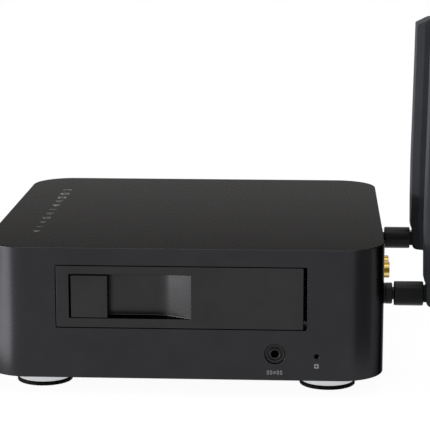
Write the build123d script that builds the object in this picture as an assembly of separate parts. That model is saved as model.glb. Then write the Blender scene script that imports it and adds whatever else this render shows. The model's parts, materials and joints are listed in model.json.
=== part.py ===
from build123d import *
from math import atan2, cos, hypot, radians, sin, tan
import os

# A media player: a flat square case with a side door for a bare hard drive, two tilting aerials at the
# back and four round feet. Millimetres. X runs from the plain side to the door side, Y from the front to
# the back and Z up, with the origin on the table under the middle of the case.

# The bare drive that the bay takes, and the room that it needs
drive_length = 147.0
drive_width = 101.6
drive_height = 26.1
drive_margin = 0.55  # drive to the front edge of the mouth
drive_lift = 0.3  # mouth's lower edge to the drive
drive_headroom = 2.2  # drive to the mouth's upper edge
hinge_room = 9.65  # width that the open door takes from the mouth
door_room = 11.0  # drive to the outer face of the door side
socket_room = 22.0  # drive to the outer face of the plain side

# Case
case_wall = 2.0
case_top = 2.5
case_corner_r = 20.0
case_top_edge = 0.5
front_room = 33.85  # front face to the mouth
rear_room = 34.35  # mouth to the back face
under_bay = 14.8  # main board to the mouth
above_mouth = 7.9
mouth_corner_r = 0.8
boss_r = 3.5
boss_inset_x = 12.0
boss_inset_y = 14.0
screw_r = 1.25
screw_head_r = 2.6
screw_head_h = 1.6
screw_grip = 6.0

# Base plate and feet
plate_t = 1.5
plate_gap = 0.15
vent_width = 2.2
vent_length = 24.0
vent_pitch = 5.0
vent_count = 17
foot_height = 7.7
foot_spacing = 130.0
foot_pad_r = 12.7
foot_pad_t = 1.65
foot_disc_r = 12.2
foot_groove = 0.25
foot_screw_r = 1.5
foot_screw_head_r = 3.2
foot_screw_head_h = 2.0
foot_screw_sink = 0.4
groove_low = 0.9
groove_high = 1.25

# Main board
standoff_h = 5.0
standoff_r = 2.75
standoff_floor = 1.0
board_t = 1.6
board_gap = 2.0  # board to the door side's wall
board_side_gap = 8.0  # board to the plain side's wall
board_back_gap = 4.0  # board to the back wall
board_depth = 108.0
board_notch_left = 14.0
board_notch_right = 20.0
board_notch_depth = 18.0
board_screw_margin = 6.0
board_screw_shift = 14.0  # back right board screw to the board's edge, clear of the notch
board_screw_back = 23.0
board_screw_r = 1.4
board_screw_head_r = 2.5
board_screw_head_h = 1.5
board_screw_grip = 3.0
display_screw_grip = 4.0
processor_size = 19.0
processor_t = 1.6
processor_inset = 36.0  # front edge of the main board to the middle of the processor
sink_size = 44.0
sink_base = 3.0
sink_gap = 0.8
fin_count = 9
fin_t = 1.4
memory_x = 34.0
memory_pitch = 14.0
memory_length = 11.0
memory_width = 8.0
memory_t = 1.2
module_inset = 33.0  # back edge of the main board to the middle of the wireless module
module_width = 24.0
module_depth = 15.0
module_h = 3.0
capacitor_r = 3.1
capacitor_h = 8.0
capacitor_gap = 2.0
capacitor_inset_x = 30.0
capacitor_inset_y = 21.0

# Drive bay
bay_floor_t = 1.2
bay_floor_drop = 0.2
rail_t = 1.2
rail_gap = 0.3
rail_height = 26.6
rail_flange = 8.0
bay_end_gap = 0.6
post_r = 2.6
post_x = 55.0
bay_screw_r = 1.5
bay_screw_head_r = 2.7
bay_screw_head_h = 1.5
bay_screw_grip = 5.0
bay_floor_start = 2.0
bay_slot_length = 30.0
bay_slot_width = 5.0
bay_slot_pitch_x = 42.0
bay_slot_pitch_y = 32.0
connector_depth = 6.0
connector_width = 42.0
connector_height = 6.4
connector_rise = 1.6
connector_y = 18.0
connector_gap = 0.4
connector_mouth = 4.0
connector_wall = 1.2
contact_t = 1.2
contact_inset = 3.0
contact_gap = 4.0
contact_step = 0.5
riser_t = 1.6
riser_width = 44.0
riser_slot = 5.0
riser_socket_t = 1.8
riser_rise = 12.0

# Frame behind the mouth, and the door
frame_depth = 10.0
frame_rim = 3.0
frame_ear = 6.2
frame_ear_h = 7.0
frame_ear_t = 3.0
stud_r = 1.5
stud_length = 5.4
nut_r = 2.8
nut_t = 2.0
door_skin = 4.0
door_gap = 0.35
hinge_inset_x = 3.8
hinge_inset_y = 4.0
swing_gap = 0.14
hinge_pin_r = 1.25
hinge_pin_grip = 5.0
hinge_back = 3.2
hinge_chamfer = 1.5
running_gap = 0.05
handle_inset = 6.05  # front edge of the mouth to the handle opening
handle_width = 54.6
handle_rise = 4.5
handle_height = 20.0
scoop_depth = 6.4
scoop_floor = 12.9  # flat length of the scoop beside the flap
tub_wall = 1.8
tub_margin = 1.5

# Latch
flap_width = 16.35
flap_side_gap = 0.85
flap_top_gap = 0.55
flap_low_gap = 0.3
flap_t = 2.4
flap_chamfer = 0.25
tub_inset = 7.75  # flap's edge back to the wall of the tub
pivot_inset_x = 2.0
pivot_inset_y = 1.95
pivot_pin_r = 0.8
pivot_pin_grip = 3.0
hub_r = 1.9
arm_t = 2.5
arm_reach = 6.0
arm_height = 10.0
nose_t = 1.6
nose_width = 5.1
nose_top_gap = 0.8
keeper_t = 0.4
keeper_flange = 3.6
keeper_flange_t = 0.3
keeper_leg = 1.8
keeper_width = 2.2
keeper_gap = 0.2
keeper_inset = 4.95
spring_t = 0.3
spring_height = 4.0

# Side sockets
jack_y = 41.5
jack_axis_h = 4.0
jack_size = 8.0
jack_depth = 14.0
jack_bore_r = 1.8
jack_bore_depth = 13.0
jack_barrel_r = 2.7
jack_hole_r = 4.6
jack_face_inset = 0.9
jack_lip = 0.2
reset_y = 60.0
reset_axis_h = 3.14
reset_hole_r = 1.1
reset_switch_size = 6.0
reset_switch_depth = 5.5
reset_plunger_r = 1.3
reset_plunger_length = 2.6
reset_travel = 0.3
reset_plunger_gap = 0.2
reset_switch_gap = 2.0

# Front
window_x = -7.0
window_width = 102.0
window_height = 34.0
window_rise = 29.7  # underside of the case to the middle of the window
window_gap = 0.15
window_inset = 0.3
window_corner_r = 2.0
window_flange = 3.5
window_flange_t = 1.5
display_width = 70.0
display_height = 22.0
display_t = 6.0
display_board_width = 138.0
display_board_height = 32.0
display_post_r = 2.5
display_post_inset = 3.5
receiver_x = 41.0
receiver_r = 2.5
receiver_depth = 4.0
receiver_rim = 0.6
receiver_margin = 1.0
button_x = 58.0
button_r = 6.0
button_gap = 0.25
button_proud = 0.6
button_flange = 1.0
button_flange_t = 1.0
button_rest_gap = 0.2
button_stem_r = 2.0
button_chamfer = 0.4
button_travel = 0.5
switch_size = 6.0
switch_t = 3.8
switch_step = 0.5
switch_gap = 0.3
lead_r = 1.5
lead_x = -20.0
board_socket_h = 6.0
board_socket_width = 16.0
board_socket_depth = 5.0
board_socket_inset = 1.0

# Back panel and its sockets
panel_t = 1.5
panel_lap = 1.9
panel_margin = 5.4  # aerial axis to the end of the back opening
panel_drop = 4.0  # underside of the case to the back opening
panel_height = 51.0
panel_corner_r = 3.0
panel_tab = 2.0
panel_tab_width = 6.4
panel_screw_inset = 4.2
socket_proud = 0.6
socket_fit = 0.2
dc_inset = 1.1
dc_width = 9.0
dc_height = 11.0
dc_depth = 14.0
dc_bore_r = 3.2
dc_bore_depth = 9.5
dc_pin_r = 1.05
dc_pin_inset = 1.0
hdmi_x = (-7.0, 12.0)
hdmi_width = 15.0
hdmi_height = 6.2
hdmi_depth = 12.0
hdmi_wall = 0.6
hdmi_tongue_width = 11.2
hdmi_tongue_t = 1.0
hdmi_tongue_rise = 0.4
hdmi_tongue_inset = 2.0
hdmi_back = 1.0
hdmi_chamfer = 1.4
lan_x = 32.0
lan_width = 16.0
lan_height = 13.4
lan_depth = 21.0
lan_mouth_width = 11.8
lan_mouth_height = 8.4
lan_mouth_depth = 14.0
lan_mouth_rise = 0.8
lan_notch_width = 6.0
lan_notch_height = 2.2
usb_inset = 7.6
usb_width = 13.4
usb_height = 15.6
usb_depth = 17.0
usb_mouth_width = 12.2
usb_mouth_height = 5.4
usb_mouth_depth = 13.0
usb_tongue_width = 10.6
usb_tongue_t = 1.9
usb_tongue_rise = 0.4
usb_tongue_inset = 1.5
usb_spread = 0.2
rca_x = -35.0
rca_pitch = 14.0
rca_rise = 24.7  # underside of the case to the jacks' axis
rca_block_width = 29.0
rca_block_depth = 14.0
rca_block_top = 6.0
rca_r = 4.15
rca_length = 9.9
rca_shell = 0.8
rca_chamfer = 0.4
rca_core_inset = 1.2
rca_core_bore_r = 1.7
rca_core_depth = 7.0
panel_vent_width = 2.0
panel_vent_height = 7.0
panel_vent_pitch = 4.5
panel_vent_count = 14
panel_vent_drop = 4.5

# Aerials
aerial_spacing = 125.2
aerial_rise = 34.1  # underside of the case to the swivel axis
bulkhead_r = 3.1
bulkhead_inner = 7.5
bulkhead_outer = 5.2
bulkhead_nut_r = 5.0
bulkhead_nut_t = 2.0
coupling_r = 4.85
coupling_length = 6.0
coupling_neck = 0.8
spigot_r = 2.9
spigot_length = 8.8
barrel_r = 5.55
barrel_length = 13.2
barrel_chamfer = 0.5
barrel_bore_depth = 9.2
tongue_width = 6.0
tongue_r = 3.5
hinge_reach = 8.2  # barrel's end to the tilt axis
tilt_pin_r = 1.25
tilt_pin_length = 12.0
fork_width = 16.0
fork_r = 7.0
fork_drop = 5.05  # tilt axis to the fork's underside
fork_corner_r = 2.4
fork_gap = 0.3
fork_slot_gap = 0.25
blade_width = 24.6
blade_thick = 16.1
blade_mid_thick = 14.2
blade_tip_thick = 13.6
blade_bevel_front = 2.0
blade_bevel_side = 3.8
blade_step_h = 6.5  # tilt axis to the top of the fork
blade_step_t = 0.6
blade_step_out = 0.6
blade_flare_h = 19.5
blade_waist_h = 41.0
blade_taper_h = 92.8
blade_length = 114.7
blade_tip_slope = 26.2
blade_ridge_r = 1.5
blade_tip_r = 7.0
radiator_width = 10.0
radiator_t = 1.0
radiator_gap = 0.1
radiator_low = 26.0
radiator_high = 104.0
coax_r = 0.7

# Places worked out from the sizes above
mouth_width = drive_margin + drive_width + hinge_room
mouth_height = drive_lift + drive_height + drive_headroom
case_width = drive_length + door_room + socket_room
case_depth = front_room + mouth_width + rear_room
case_x0 = -case_width / 2
case_x1 = case_width / 2
case_y0 = -case_depth / 2
case_y1 = case_depth / 2
case_z0 = foot_height
plate_z1 = case_z0 + plate_t
board_z0 = plate_z1 + standoff_h
board_z1 = board_z0 + board_t
mouth_z0 = board_z1 + under_bay
mouth_z1 = mouth_z0 + mouth_height
case_z1 = mouth_z1 + above_mouth
roof_z = case_z1 - case_top
mouth_y0 = case_y0 + front_room
mouth_y1 = mouth_y0 + mouth_width
wall_x = case_x1 - case_wall
wall_back_y = case_y1 - case_wall
wall_front_y = case_y0 + case_wall
drive_x1 = case_x1 - door_room
drive_x0 = drive_x1 - drive_length
drive_y0 = mouth_y0 + drive_margin
drive_y1 = drive_y0 + drive_width
floor_z1 = mouth_z0 - bay_floor_drop
floor_z0 = floor_z1 - bay_floor_t
frame_x0 = wall_x - frame_depth
rail_y0 = drive_y0 - rail_gap
rail_y1 = drive_y1 + rail_gap
connector_x0 = drive_x0 - connector_gap - connector_depth
riser_x0 = connector_x0 - riser_t

hinge_gap = hypot(hinge_inset_x, hinge_inset_y) - hinge_inset_y + swing_gap
door_y0 = mouth_y0 + door_gap
door_y1 = mouth_y1 - hinge_gap
door_z0 = mouth_z0 + door_gap
door_z1 = mouth_z1 - door_gap
skin_x = case_x1 - door_skin
hinge_x = case_x1 - hinge_inset_x
hinge_y = door_y1 - hinge_inset_y
handle_y0 = mouth_y0 + handle_inset
handle_y1 = handle_y0 + handle_width
handle_z0 = mouth_z0 + handle_rise
handle_z1 = handle_z0 + handle_height
flap_y0 = handle_y0 + flap_side_gap
flap_y1 = flap_y0 + flap_width
flap_z0 = handle_z0 + flap_low_gap
flap_z1 = handle_z1 - flap_top_gap
tub_y0 = flap_y1 - tub_inset
tub_y1 = handle_y1 + tub_margin
tub_x0 = case_x1 - scoop_depth - tub_wall
pivot_x = case_x1 - pivot_inset_x
pivot_y = flap_y0 + pivot_inset_y
arm_x0 = pivot_x - arm_reach
arm_y1 = pivot_y + 1.4
arm_y0 = arm_y1 - arm_t
nose_z1 = mouth_z1 - nose_top_gap
keeper_x0 = arm_x0 + nose_t + keeper_gap
keeper_y0 = mouth_y0 + keeper_inset

panel_y1 = wall_back_y
panel_y0 = panel_y1 - panel_t
socket_y1 = panel_y1 + socket_proud
aerial_x = aerial_spacing / 2
aerial_z = case_z0 + aerial_rise
panel_open_width = aerial_spacing + 2 * panel_margin
panel_z0 = case_z0 + panel_drop
panel_z1 = panel_z0 + panel_height
dc_x = dc_inset - aerial_x
usb_x = aerial_x - usb_inset
rca_z = case_z0 + rca_rise
rca_places = (rca_x - rca_pitch / 2, rca_x + rca_pitch / 2)
window_z = case_z0 + window_rise
display_board_y1 = wall_front_y + window_flange_t + display_t + 0.3
display_board_y0 = display_board_y1 + board_t
jack_z = board_z1 + jack_axis_h
reset_z = board_z1 + reset_axis_h
coupling_y1 = panel_y1 + coupling_length
barrel_y0 = coupling_y1 + coupling_neck
barrel_y1 = barrel_y0 + barrel_length
tilt_y = barrel_y1 + hinge_reach
board_x0 = case_x0 + case_wall + board_side_gap
board_x1 = wall_x - board_gap
board_y1 = wall_back_y - board_back_gap
board_y0 = board_y1 - board_depth
front_post_y = rail_y0 - rail_t - rail_flange / 2
back_post_y = rail_y1 + rail_t + rail_flange / 2
processor_y = board_y0 + processor_inset
module_y = board_y1 - module_inset
board_screw_places = (
    (board_x0 + board_screw_margin, board_y0 + board_screw_margin),
    (board_x1 - board_screw_margin, board_y0 + board_screw_margin),
    (board_x0 + board_screw_margin, board_y1 - board_screw_back),
    (board_x1 - board_screw_shift, board_y1 - board_screw_back),
)
post_places = ((-post_x, back_post_y), (post_x, back_post_y))


def block(x0, x1, y0, y1, z0, z1):
    """Box between two corners."""
    middle = Pos((x0 + x1) / 2, (y0 + y1) / 2, (z0 + z1) / 2)
    return middle * Box(x1 - x0, y1 - y0, z1 - z0)


def rod_x(y, z, r, x0, x1):
    """Round bar along X."""
    return extrude(Plane((x0, y, z), x_dir=(0, 1, 0), z_dir=(1, 0, 0)) * Circle(r), x1 - x0)


def rod_y(x, z, r, y0, y1):
    """Round bar along Y."""
    return extrude(Plane((x, y0, z), x_dir=(1, 0, 0), z_dir=(0, 1, 0)) * Circle(r), y1 - y0)


def rod_z(x, y, r, z0, z1):
    """Round bar along Z."""
    return extrude(Pos(x, y, z0) * Circle(r), z1 - z0)


def slab_x(y0, y1, z0, z1, r, x0, x1):
    """Plate square to X with rounded corners."""
    plane = Plane((x0, (y0 + y1) / 2, (z0 + z1) / 2), x_dir=(0, 1, 0), z_dir=(1, 0, 0))
    return extrude(plane * RectangleRounded(y1 - y0, z1 - z0, r), x1 - x0)


def slab_y(x, z, width, height, r, y0, y1):
    """Plate square to Y with rounded corners, centred on x and z."""
    plane = Plane((x, y0, z), x_dir=(1, 0, 0), z_dir=(0, 1, 0))
    return extrude(plane * RectangleRounded(width, height, r), y1 - y0)


def join(shapes):
    """Several solids as one."""
    total = shapes[0]
    for shape in shapes[1:]:
        total = total + shape
    return total


def group(shapes):
    """Separate solids kept together in one node."""
    return Compound(children=[solid for shape in shapes for solid in shape.solids()])


def at_corners(spacing_x, spacing_y):
    """Four places round the middle."""
    return [(sx * spacing_x / 2, sy * spacing_y / 2) for sx in (-1, 1) for sy in (-1, 1)]


def boss_places():
    """Where the case screws go."""
    return at_corners(case_width - 2 * boss_inset_x, case_depth - 2 * boss_inset_y)


def display_post_places():
    """Where the front board is screwed to the case, as x and z."""
    half_x = display_board_width / 2 - display_post_inset
    half_z = display_board_height / 2 - display_post_inset
    return [(sx * half_x, window_z + sz * half_z) for sx in (-1, 1) for sz in (-1, 1)]


def panel_screw_places():
    """Where the back panel is screwed on, as x and z: two low ones between sockets, two at the top."""
    half = panel_open_width / 2 - panel_screw_inset
    low, high = panel_z0 + panel_screw_inset, panel_z1 - panel_screw_inset
    beside_dc = (dc_x + dc_width / 2 + rca_x - rca_block_width / 2) / 2
    beside_usb = (lan_x + lan_width / 2 + usb_x - usb_width / 2) / 2
    return [(beside_dc, low), (beside_usb, low), (-half, high), (half, high)]


def stud_places():
    """Where the frame behind the mouth is held, as y."""
    return (mouth_y0 - frame_rim - frame_ear / 2, mouth_y1 + frame_rim + frame_ear / 2)


def case_shell():
    """One-piece cover: roof and four walls with their openings, bosses and posts."""
    outline = RectangleRounded(case_width, case_depth, case_corner_r)
    outer = extrude(Pos(0, 0, case_z0) * outline, case_z1 - case_z0)
    outer = chamfer(outer.edges().group_by(Axis.Z)[-1], case_top_edge)
    inner_width = case_width - 2 * case_wall
    inner_depth = case_depth - 2 * case_wall
    inner_line = RectangleRounded(inner_width, inner_depth, case_corner_r - case_wall)
    shell = outer - extrude(Pos(0, 0, case_z0) * inner_line, roof_z - case_z0)
    shell -= slab_x(mouth_y0, mouth_y1, mouth_z0, mouth_z1, mouth_corner_r, wall_x - 1, case_x1 + 1)
    shell -= rod_x(jack_y, jack_z, jack_hole_r, wall_x - 1, case_x1 + 1)
    shell -= rod_x(reset_y, reset_z, reset_hole_r, wall_x - 1, case_x1 + 1)
    window_hole = slab_y(
        window_x, window_z, window_width, window_height, window_corner_r, case_y0 - 1, wall_front_y + 1
    )
    shell -= window_hole
    shell -= rod_y(button_x, window_z, button_r + button_gap, case_y0 - 1, wall_front_y + 1)
    panel_z = (panel_z0 + panel_z1) / 2
    shell -= slab_y(
        0, panel_z, panel_open_width, panel_height, panel_corner_r, wall_back_y - 1, case_y1 + 1
    )
    for x, y in boss_places():
        shell += rod_z(x, y, boss_r, plate_z1, roof_z)
        shell -= rod_z(x, y, screw_r, plate_z1, plate_z1 + screw_grip)
    for x, z in display_post_places():
        shell += rod_y(x, z, display_post_r, wall_front_y, display_board_y1)
        shell -= rod_y(x, z, screw_r, display_board_y1 - screw_grip, display_board_y1)
    for y in stud_places():
        shell += rod_x(y, (mouth_z0 + mouth_z1) / 2, stud_r, wall_x - stud_length, wall_x)
    for x, z in panel_screw_places():
        if z > panel_z:
            tab = block(
                x - panel_tab_width / 2, x + panel_tab_width / 2, panel_y0 - panel_tab, panel_y0,
                z - panel_screw_inset, roof_z
            )
            shell += tab
            shell -= rod_y(x, z, screw_r, panel_y0 - panel_tab, panel_y0)
    return shell


def bottom_plate():
    """Base plate with vent slots, screw holes and two upright tabs for the back panel."""
    width = case_width - 2 * (case_wall + plate_gap)
    depth = case_depth - 2 * (case_wall + plate_gap)
    line = RectangleRounded(width, depth, case_corner_r - case_wall - plate_gap)
    plate = extrude(Pos(0, 0, case_z0) * line, plate_t)
    for i in range(vent_count):
        x = (i - (vent_count - 1) / 2) * vent_pitch
        for y in (processor_y - 0.6 * vent_length, processor_y + 0.6 * vent_length):
            slot = SlotOverall(vent_length, vent_width, rotation=90)
            plate -= extrude(Pos(x, y, case_z0) * slot, plate_t)
    for x, y in boss_places():
        plate -= rod_z(x, y, screw_r, case_z0, plate_z1)
    for x, y in at_corners(foot_spacing, foot_spacing):
        plate -= rod_z(x, y, foot_screw_r, case_z0, plate_z1)
    for x, z in panel_screw_places():
        if z < (panel_z0 + panel_z1) / 2:
            tab = block(
                x - panel_tab_width / 2, x + panel_tab_width / 2, panel_y0 - panel_tab, panel_y0,
                case_z0, z + panel_screw_inset
            )
            plate += tab
            plate -= rod_y(x, z, screw_r, panel_y0 - panel_tab, panel_y0)
    return plate


def case_screws():
    """Four screws up into the case bosses and four into the back panel's tabs, all alike."""
    screws = []
    for x, y in boss_places():
        head = rod_z(x, y, screw_head_r, case_z0 - screw_head_h, case_z0)
        screws.append(head + rod_z(x, y, screw_r, case_z0, plate_z1 + screw_grip))
    for x, z in panel_screw_places():
        head = rod_y(x, z, screw_head_r, panel_y1, panel_y1 + screw_head_h)
        screws.append(head + rod_y(x, z, screw_r, panel_y0 - panel_tab, panel_y1))
    return group(screws)


def foot_discs():
    """Polished discs of the four feet, each with a recess below for its screw."""
    discs = []
    for x, y in at_corners(foot_spacing, foot_spacing):
        disc = rod_z(x, y, foot_disc_r, foot_pad_t, foot_height)
        recess_z1 = foot_pad_t + foot_screw_sink + foot_screw_head_h
        disc -= rod_z(x, y, foot_screw_head_r, foot_pad_t, recess_z1)
        disc -= rod_z(x, y, foot_screw_r, recess_z1, foot_height)
        discs.append(disc)
    return group(discs)


def foot_pads():
    """Rubber pads under the discs, a little wider, with a fine groove round the rim."""
    pads = []
    for x, y in at_corners(foot_spacing, foot_spacing):
        pad = rod_z(x, y, foot_pad_r, 0, foot_pad_t)
        ring = rod_z(x, y, foot_pad_r + 1, groove_low, groove_high)
        ring -= rod_z(x, y, foot_pad_r - foot_groove, groove_low, groove_high)
        pads.append(pad - ring)
    return group(pads)


def foot_screws():
    """Screws that hold the feet to the base plate."""
    screws = []
    head_z0 = foot_pad_t + foot_screw_sink
    for x, y in at_corners(foot_spacing, foot_spacing):
        head = rod_z(x, y, foot_screw_head_r, head_z0, head_z0 + foot_screw_head_h)
        screws.append(head + rod_z(x, y, foot_screw_r, head_z0 + foot_screw_head_h, plate_z1))
    return group(screws)


def front_window():
    """Dark window in the front wall, with a flange behind the wall."""
    width = window_width - 2 * window_gap
    height = window_height - 2 * window_gap
    face = slab_y(
        window_x, window_z, width, height, window_corner_r - window_gap, case_y0 + window_inset, wall_front_y
    )
    flange = slab_y(
        window_x, window_z, width + 2 * window_flange, height + 2 * window_flange,
        window_corner_r, wall_front_y, wall_front_y + window_flange_t
    )
    return face + flange


def display_board():
    """Front board behind the window, with its screw holes."""
    half_x = display_board_width / 2
    half_z = display_board_height / 2
    board = block(
        -half_x, half_x, display_board_y1, display_board_y0, window_z - half_z, window_z + half_z
    )
    for x, z in display_post_places():
        board -= rod_y(x, z, board_screw_r, display_board_y1, display_board_y0)
    return board


def display_module():
    """Segment display on the front board."""
    return block(
        window_x - display_width / 2, window_x + display_width / 2, display_board_y1 - display_t,
        display_board_y1, window_z - display_height / 2, window_z + display_height / 2
    )


def ir_receiver():
    """Remote-control receiver: a small block with a half-round eye towards the window."""
    body = block(
        receiver_x - receiver_r, receiver_x + receiver_r, display_board_y1 - receiver_depth,
        display_board_y1, window_z - receiver_r - receiver_margin, window_z + receiver_r + receiver_margin
    )
    eye = Pos(receiver_x, display_board_y1 - receiver_depth, window_z) * Sphere(receiver_r - receiver_rim)
    return body + eye


def power_button():
    """Round button with a flange behind the wall and a stem towards its switch."""
    head = rod_y(button_x, window_z, button_r, case_y0 - button_proud, wall_front_y + button_rest_gap)
    head = chamfer(head.edges().sort_by(Axis.Y)[0], button_chamfer)
    flange_y0 = wall_front_y + button_rest_gap
    flange_y1 = flange_y0 + button_flange_t
    flange = rod_y(button_x, window_z, button_r + button_flange, flange_y0, flange_y1)
    stem_y1 = display_board_y1 - switch_t - switch_gap - button_travel
    return head + flange + rod_y(button_x, window_z, button_stem_r, flange_y1, stem_y1)


def power_switch():
    """Push switch on the front board, behind the button."""
    half = switch_size / 2
    body = block(
        button_x - half, button_x + half, display_board_y1 - switch_t + switch_step, display_board_y1,
        window_z - half, window_z + half
    )
    return body + rod_y(button_x, window_z, button_stem_r, display_board_y1 - switch_t, display_board_y1)


def front_lead_points():
    """Route of the lead from the front board down and back to the main board."""
    top_z = window_z - display_board_height / 2 + 3
    low_z = board_z1 + board_socket_h / 2
    return (
        (lead_x, display_board_y0, top_z),
        (lead_x, display_board_y0 + 6, top_z),
        (lead_x, display_board_y0 + 10, low_z + 3),
        (lead_x, display_board_y0 + 17, low_z),
        (lead_x, board_y0 + board_socket_inset, low_z),
    )


def arc_radii(points):
    """Radius of the arc at each corner of a route, as large as its two runs allow."""
    radii = []
    for before, corner, after in zip(points, points[1:], points[2:]):
        run_in = Vector(corner) - Vector(before)
        run_out = Vector(after) - Vector(corner)
        half_turn = radians(run_in.get_angle(run_out)) / 2
        radii.append(0.45 * min(run_in.length, run_out.length) / tan(half_turn))
    return radii


def tube(points, r):
    """Round lead along straight runs joined by tangent arcs."""
    path = FilletPolyline(*points, radius=arc_radii(points))
    return sweep((path ^ 0) * Circle(r), path=path)


def front_lead():
    """Round lead between the two boards."""
    return tube(front_lead_points(), lead_r)


def rear_panel():
    """Back panel behind the back wall, with a cut-out for each socket."""
    width = panel_open_width + 2 * panel_lap
    middle_z = (panel_z0 + panel_z1) / 2
    panel = slab_y(0, middle_z, width, panel_height + 2 * panel_lap, panel_corner_r, panel_y0, panel_y1)
    for x, width, height in socket_outlines():
        panel -= block(
            x - width / 2 - socket_fit, x + width / 2 + socket_fit, panel_y0, panel_y1,
            board_z1 - socket_fit, board_z1 + height + socket_fit
        )
    for x in rca_places:
        panel -= rod_y(x, rca_z, rca_r + socket_fit, panel_y0, panel_y1)
    for x in (-aerial_x, aerial_x):
        panel -= rod_y(x, aerial_z, bulkhead_r, panel_y0, panel_y1)
    for x, z in panel_screw_places():
        panel -= rod_y(x, z, screw_r, panel_y0, panel_y1)
    vent_z = panel_z1 - panel_vent_drop
    for i in range(panel_vent_count):
        x = (i - (panel_vent_count - 1) / 2) * panel_vent_pitch
        panel -= slab_y(
            x, vent_z - panel_vent_height / 2, panel_vent_width, panel_vent_height,
            panel_vent_width / 2 - 0.01, panel_y0, panel_y1
        )
    return panel


def socket_outlines():
    """Middle, width and height of each socket that comes through the panel from the board."""
    outlines = [(dc_x, dc_width, dc_height), (lan_x, lan_width, lan_height), (usb_x, usb_width, usb_height)]
    return outlines + [(x, hdmi_width, hdmi_height) for x in hdmi_x]


def socket_block(x, width, height, depth):
    """Body of a socket that stands on the board and ends just outside the panel."""
    return block(x - width / 2, x + width / 2, socket_y1 - depth, socket_y1, board_z1, board_z1 + height)


def dc_socket():
    """Power socket: a round bore with a pin on its axis."""
    body = socket_block(dc_x, dc_width, dc_height, dc_depth)
    z = board_z1 + dc_height / 2
    body -= rod_y(dc_x, z, dc_bore_r, socket_y1 - dc_bore_depth, socket_y1)
    return body + rod_y(dc_x, z, dc_pin_r, socket_y1 - dc_bore_depth, socket_y1 - dc_pin_inset)


def hdmi_sockets():
    """Two metal video sockets, open at the back of the player."""
    sockets = []
    for x in hdmi_x:
        shell = socket_block(x, hdmi_width, hdmi_height, hdmi_depth)
        inner_z0 = board_z1 + hdmi_wall
        inner_z1 = board_z1 + hdmi_height - hdmi_wall
        half = hdmi_width / 2 - hdmi_wall
        back = socket_y1 - hdmi_depth + hdmi_back
        mouth = block(x - half, x + half, back, socket_y1, inner_z0, inner_z1)
        shell -= chamfer(mouth.edges().filter_by(Axis.Y).group_by(Axis.Z)[0], hdmi_chamfer)
        sockets.append(shell)
    return group(sockets)


def lan_socket():
    """Network socket with its clip notch."""
    body = socket_block(lan_x, lan_width, lan_height, lan_depth)
    mouth_low = board_z1 + (lan_height - lan_mouth_height) / 2 + lan_mouth_rise
    mouth_y0 = socket_y1 - lan_mouth_depth
    half = lan_mouth_width / 2
    body -= block(lan_x - half, lan_x + half, mouth_y0, socket_y1, mouth_low, mouth_low + lan_mouth_height)
    notch_half = lan_notch_width / 2
    notch = block(
        lan_x - notch_half, lan_x + notch_half, mouth_y0, socket_y1, mouth_low - lan_notch_height, mouth_low
    )
    return body - notch


def usb_rows():
    """Heights of the middles of the two USB mouths."""
    row = usb_height / 4
    return (board_z1 + row + usb_spread, board_z1 + 3 * row - usb_spread)


def usb_socket():
    """Metal block with two USB mouths, one above the other."""
    body = socket_block(usb_x, usb_width, usb_height, usb_depth)
    half = usb_mouth_width / 2
    for z in usb_rows():
        body -= block(
            usb_x - half, usb_x + half, socket_y1 - usb_mouth_depth, socket_y1,
            z - usb_mouth_height / 2, z + usb_mouth_height / 2
        )
    return body


def socket_tongues():
    """Plastic tongues inside the video and USB sockets."""
    tongues = []
    for x in hdmi_x:
        z = board_z1 + hdmi_height / 2 + hdmi_tongue_rise
        half = hdmi_tongue_width / 2
        tongues.append(block(
            x - half, x + half, socket_y1 - hdmi_depth + hdmi_back, socket_y1 - hdmi_tongue_inset,
            z - hdmi_tongue_t / 2, z + hdmi_tongue_t / 2
        ))
    for middle in usb_rows():
        z = middle + usb_tongue_rise
        half = usb_tongue_width / 2
        tongues.append(block(
            usb_x - half, usb_x + half, socket_y1 - usb_mouth_depth, socket_y1 - usb_tongue_inset, z,
            z + usb_tongue_t
        ))
    return group(tongues)


def rca_housing():
    """Plastic block that carries the two sound jacks above the board."""
    half = rca_block_width / 2
    return block(
        rca_x - half, rca_x + half, panel_y0 - rca_block_depth, panel_y0, board_z1, rca_z + rca_block_top
    )


def rca_jacks():
    """Gold collars of the two sound jacks."""
    collars = []
    for x in rca_places:
        collar = rod_y(x, rca_z, rca_r, panel_y0, panel_y0 + rca_length)
        collar = chamfer(collar.edges().sort_by(Axis.Y)[-1], rca_chamfer)
        collars.append(collar - rod_y(x, rca_z, rca_r - rca_shell, panel_y0, panel_y0 + rca_length))
    return group(collars)


def rca_cores():
    """Insulating cores inside the collars, each with its contact hole."""
    cores = []
    core_y1 = panel_y0 + rca_length - rca_core_inset
    for x in rca_places:
        core = rod_y(x, rca_z, rca_r - rca_shell, panel_y0, core_y1)
        cores.append(core - rod_y(x, rca_z, rca_core_bore_r, core_y1 - rca_core_depth, core_y1))
    return group(cores)


def antenna_bulkheads():
    """Threaded sockets through the panel, with a nut behind it."""
    sockets = []
    for x in (-aerial_x, aerial_x):
        stem = rod_y(x, aerial_z, bulkhead_r, panel_y0 - bulkhead_inner, panel_y1 + bulkhead_outer)
        nut = rod_y(x, aerial_z, bulkhead_nut_r, panel_y0 - bulkhead_nut_t, panel_y0)
        sockets.append(stem + nut)
    return group(sockets)


def antenna_couplings():
    """Rings screwed on the sockets, each with the spigot that its aerial turns on."""
    rings = []
    for x in (-aerial_x, aerial_x):
        ring = rod_y(x, aerial_z, coupling_r, panel_y1, coupling_y1)
        ring = chamfer(ring.edges().sort_by(Axis.Y)[-1], barrel_chamfer)
        ring += rod_y(x, aerial_z, spigot_r, coupling_y1, barrel_y0 + spigot_length)
        rings.append(ring - rod_y(x, aerial_z, bulkhead_r, panel_y1, panel_y1 + bulkhead_outer))
    return group(rings)


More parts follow.
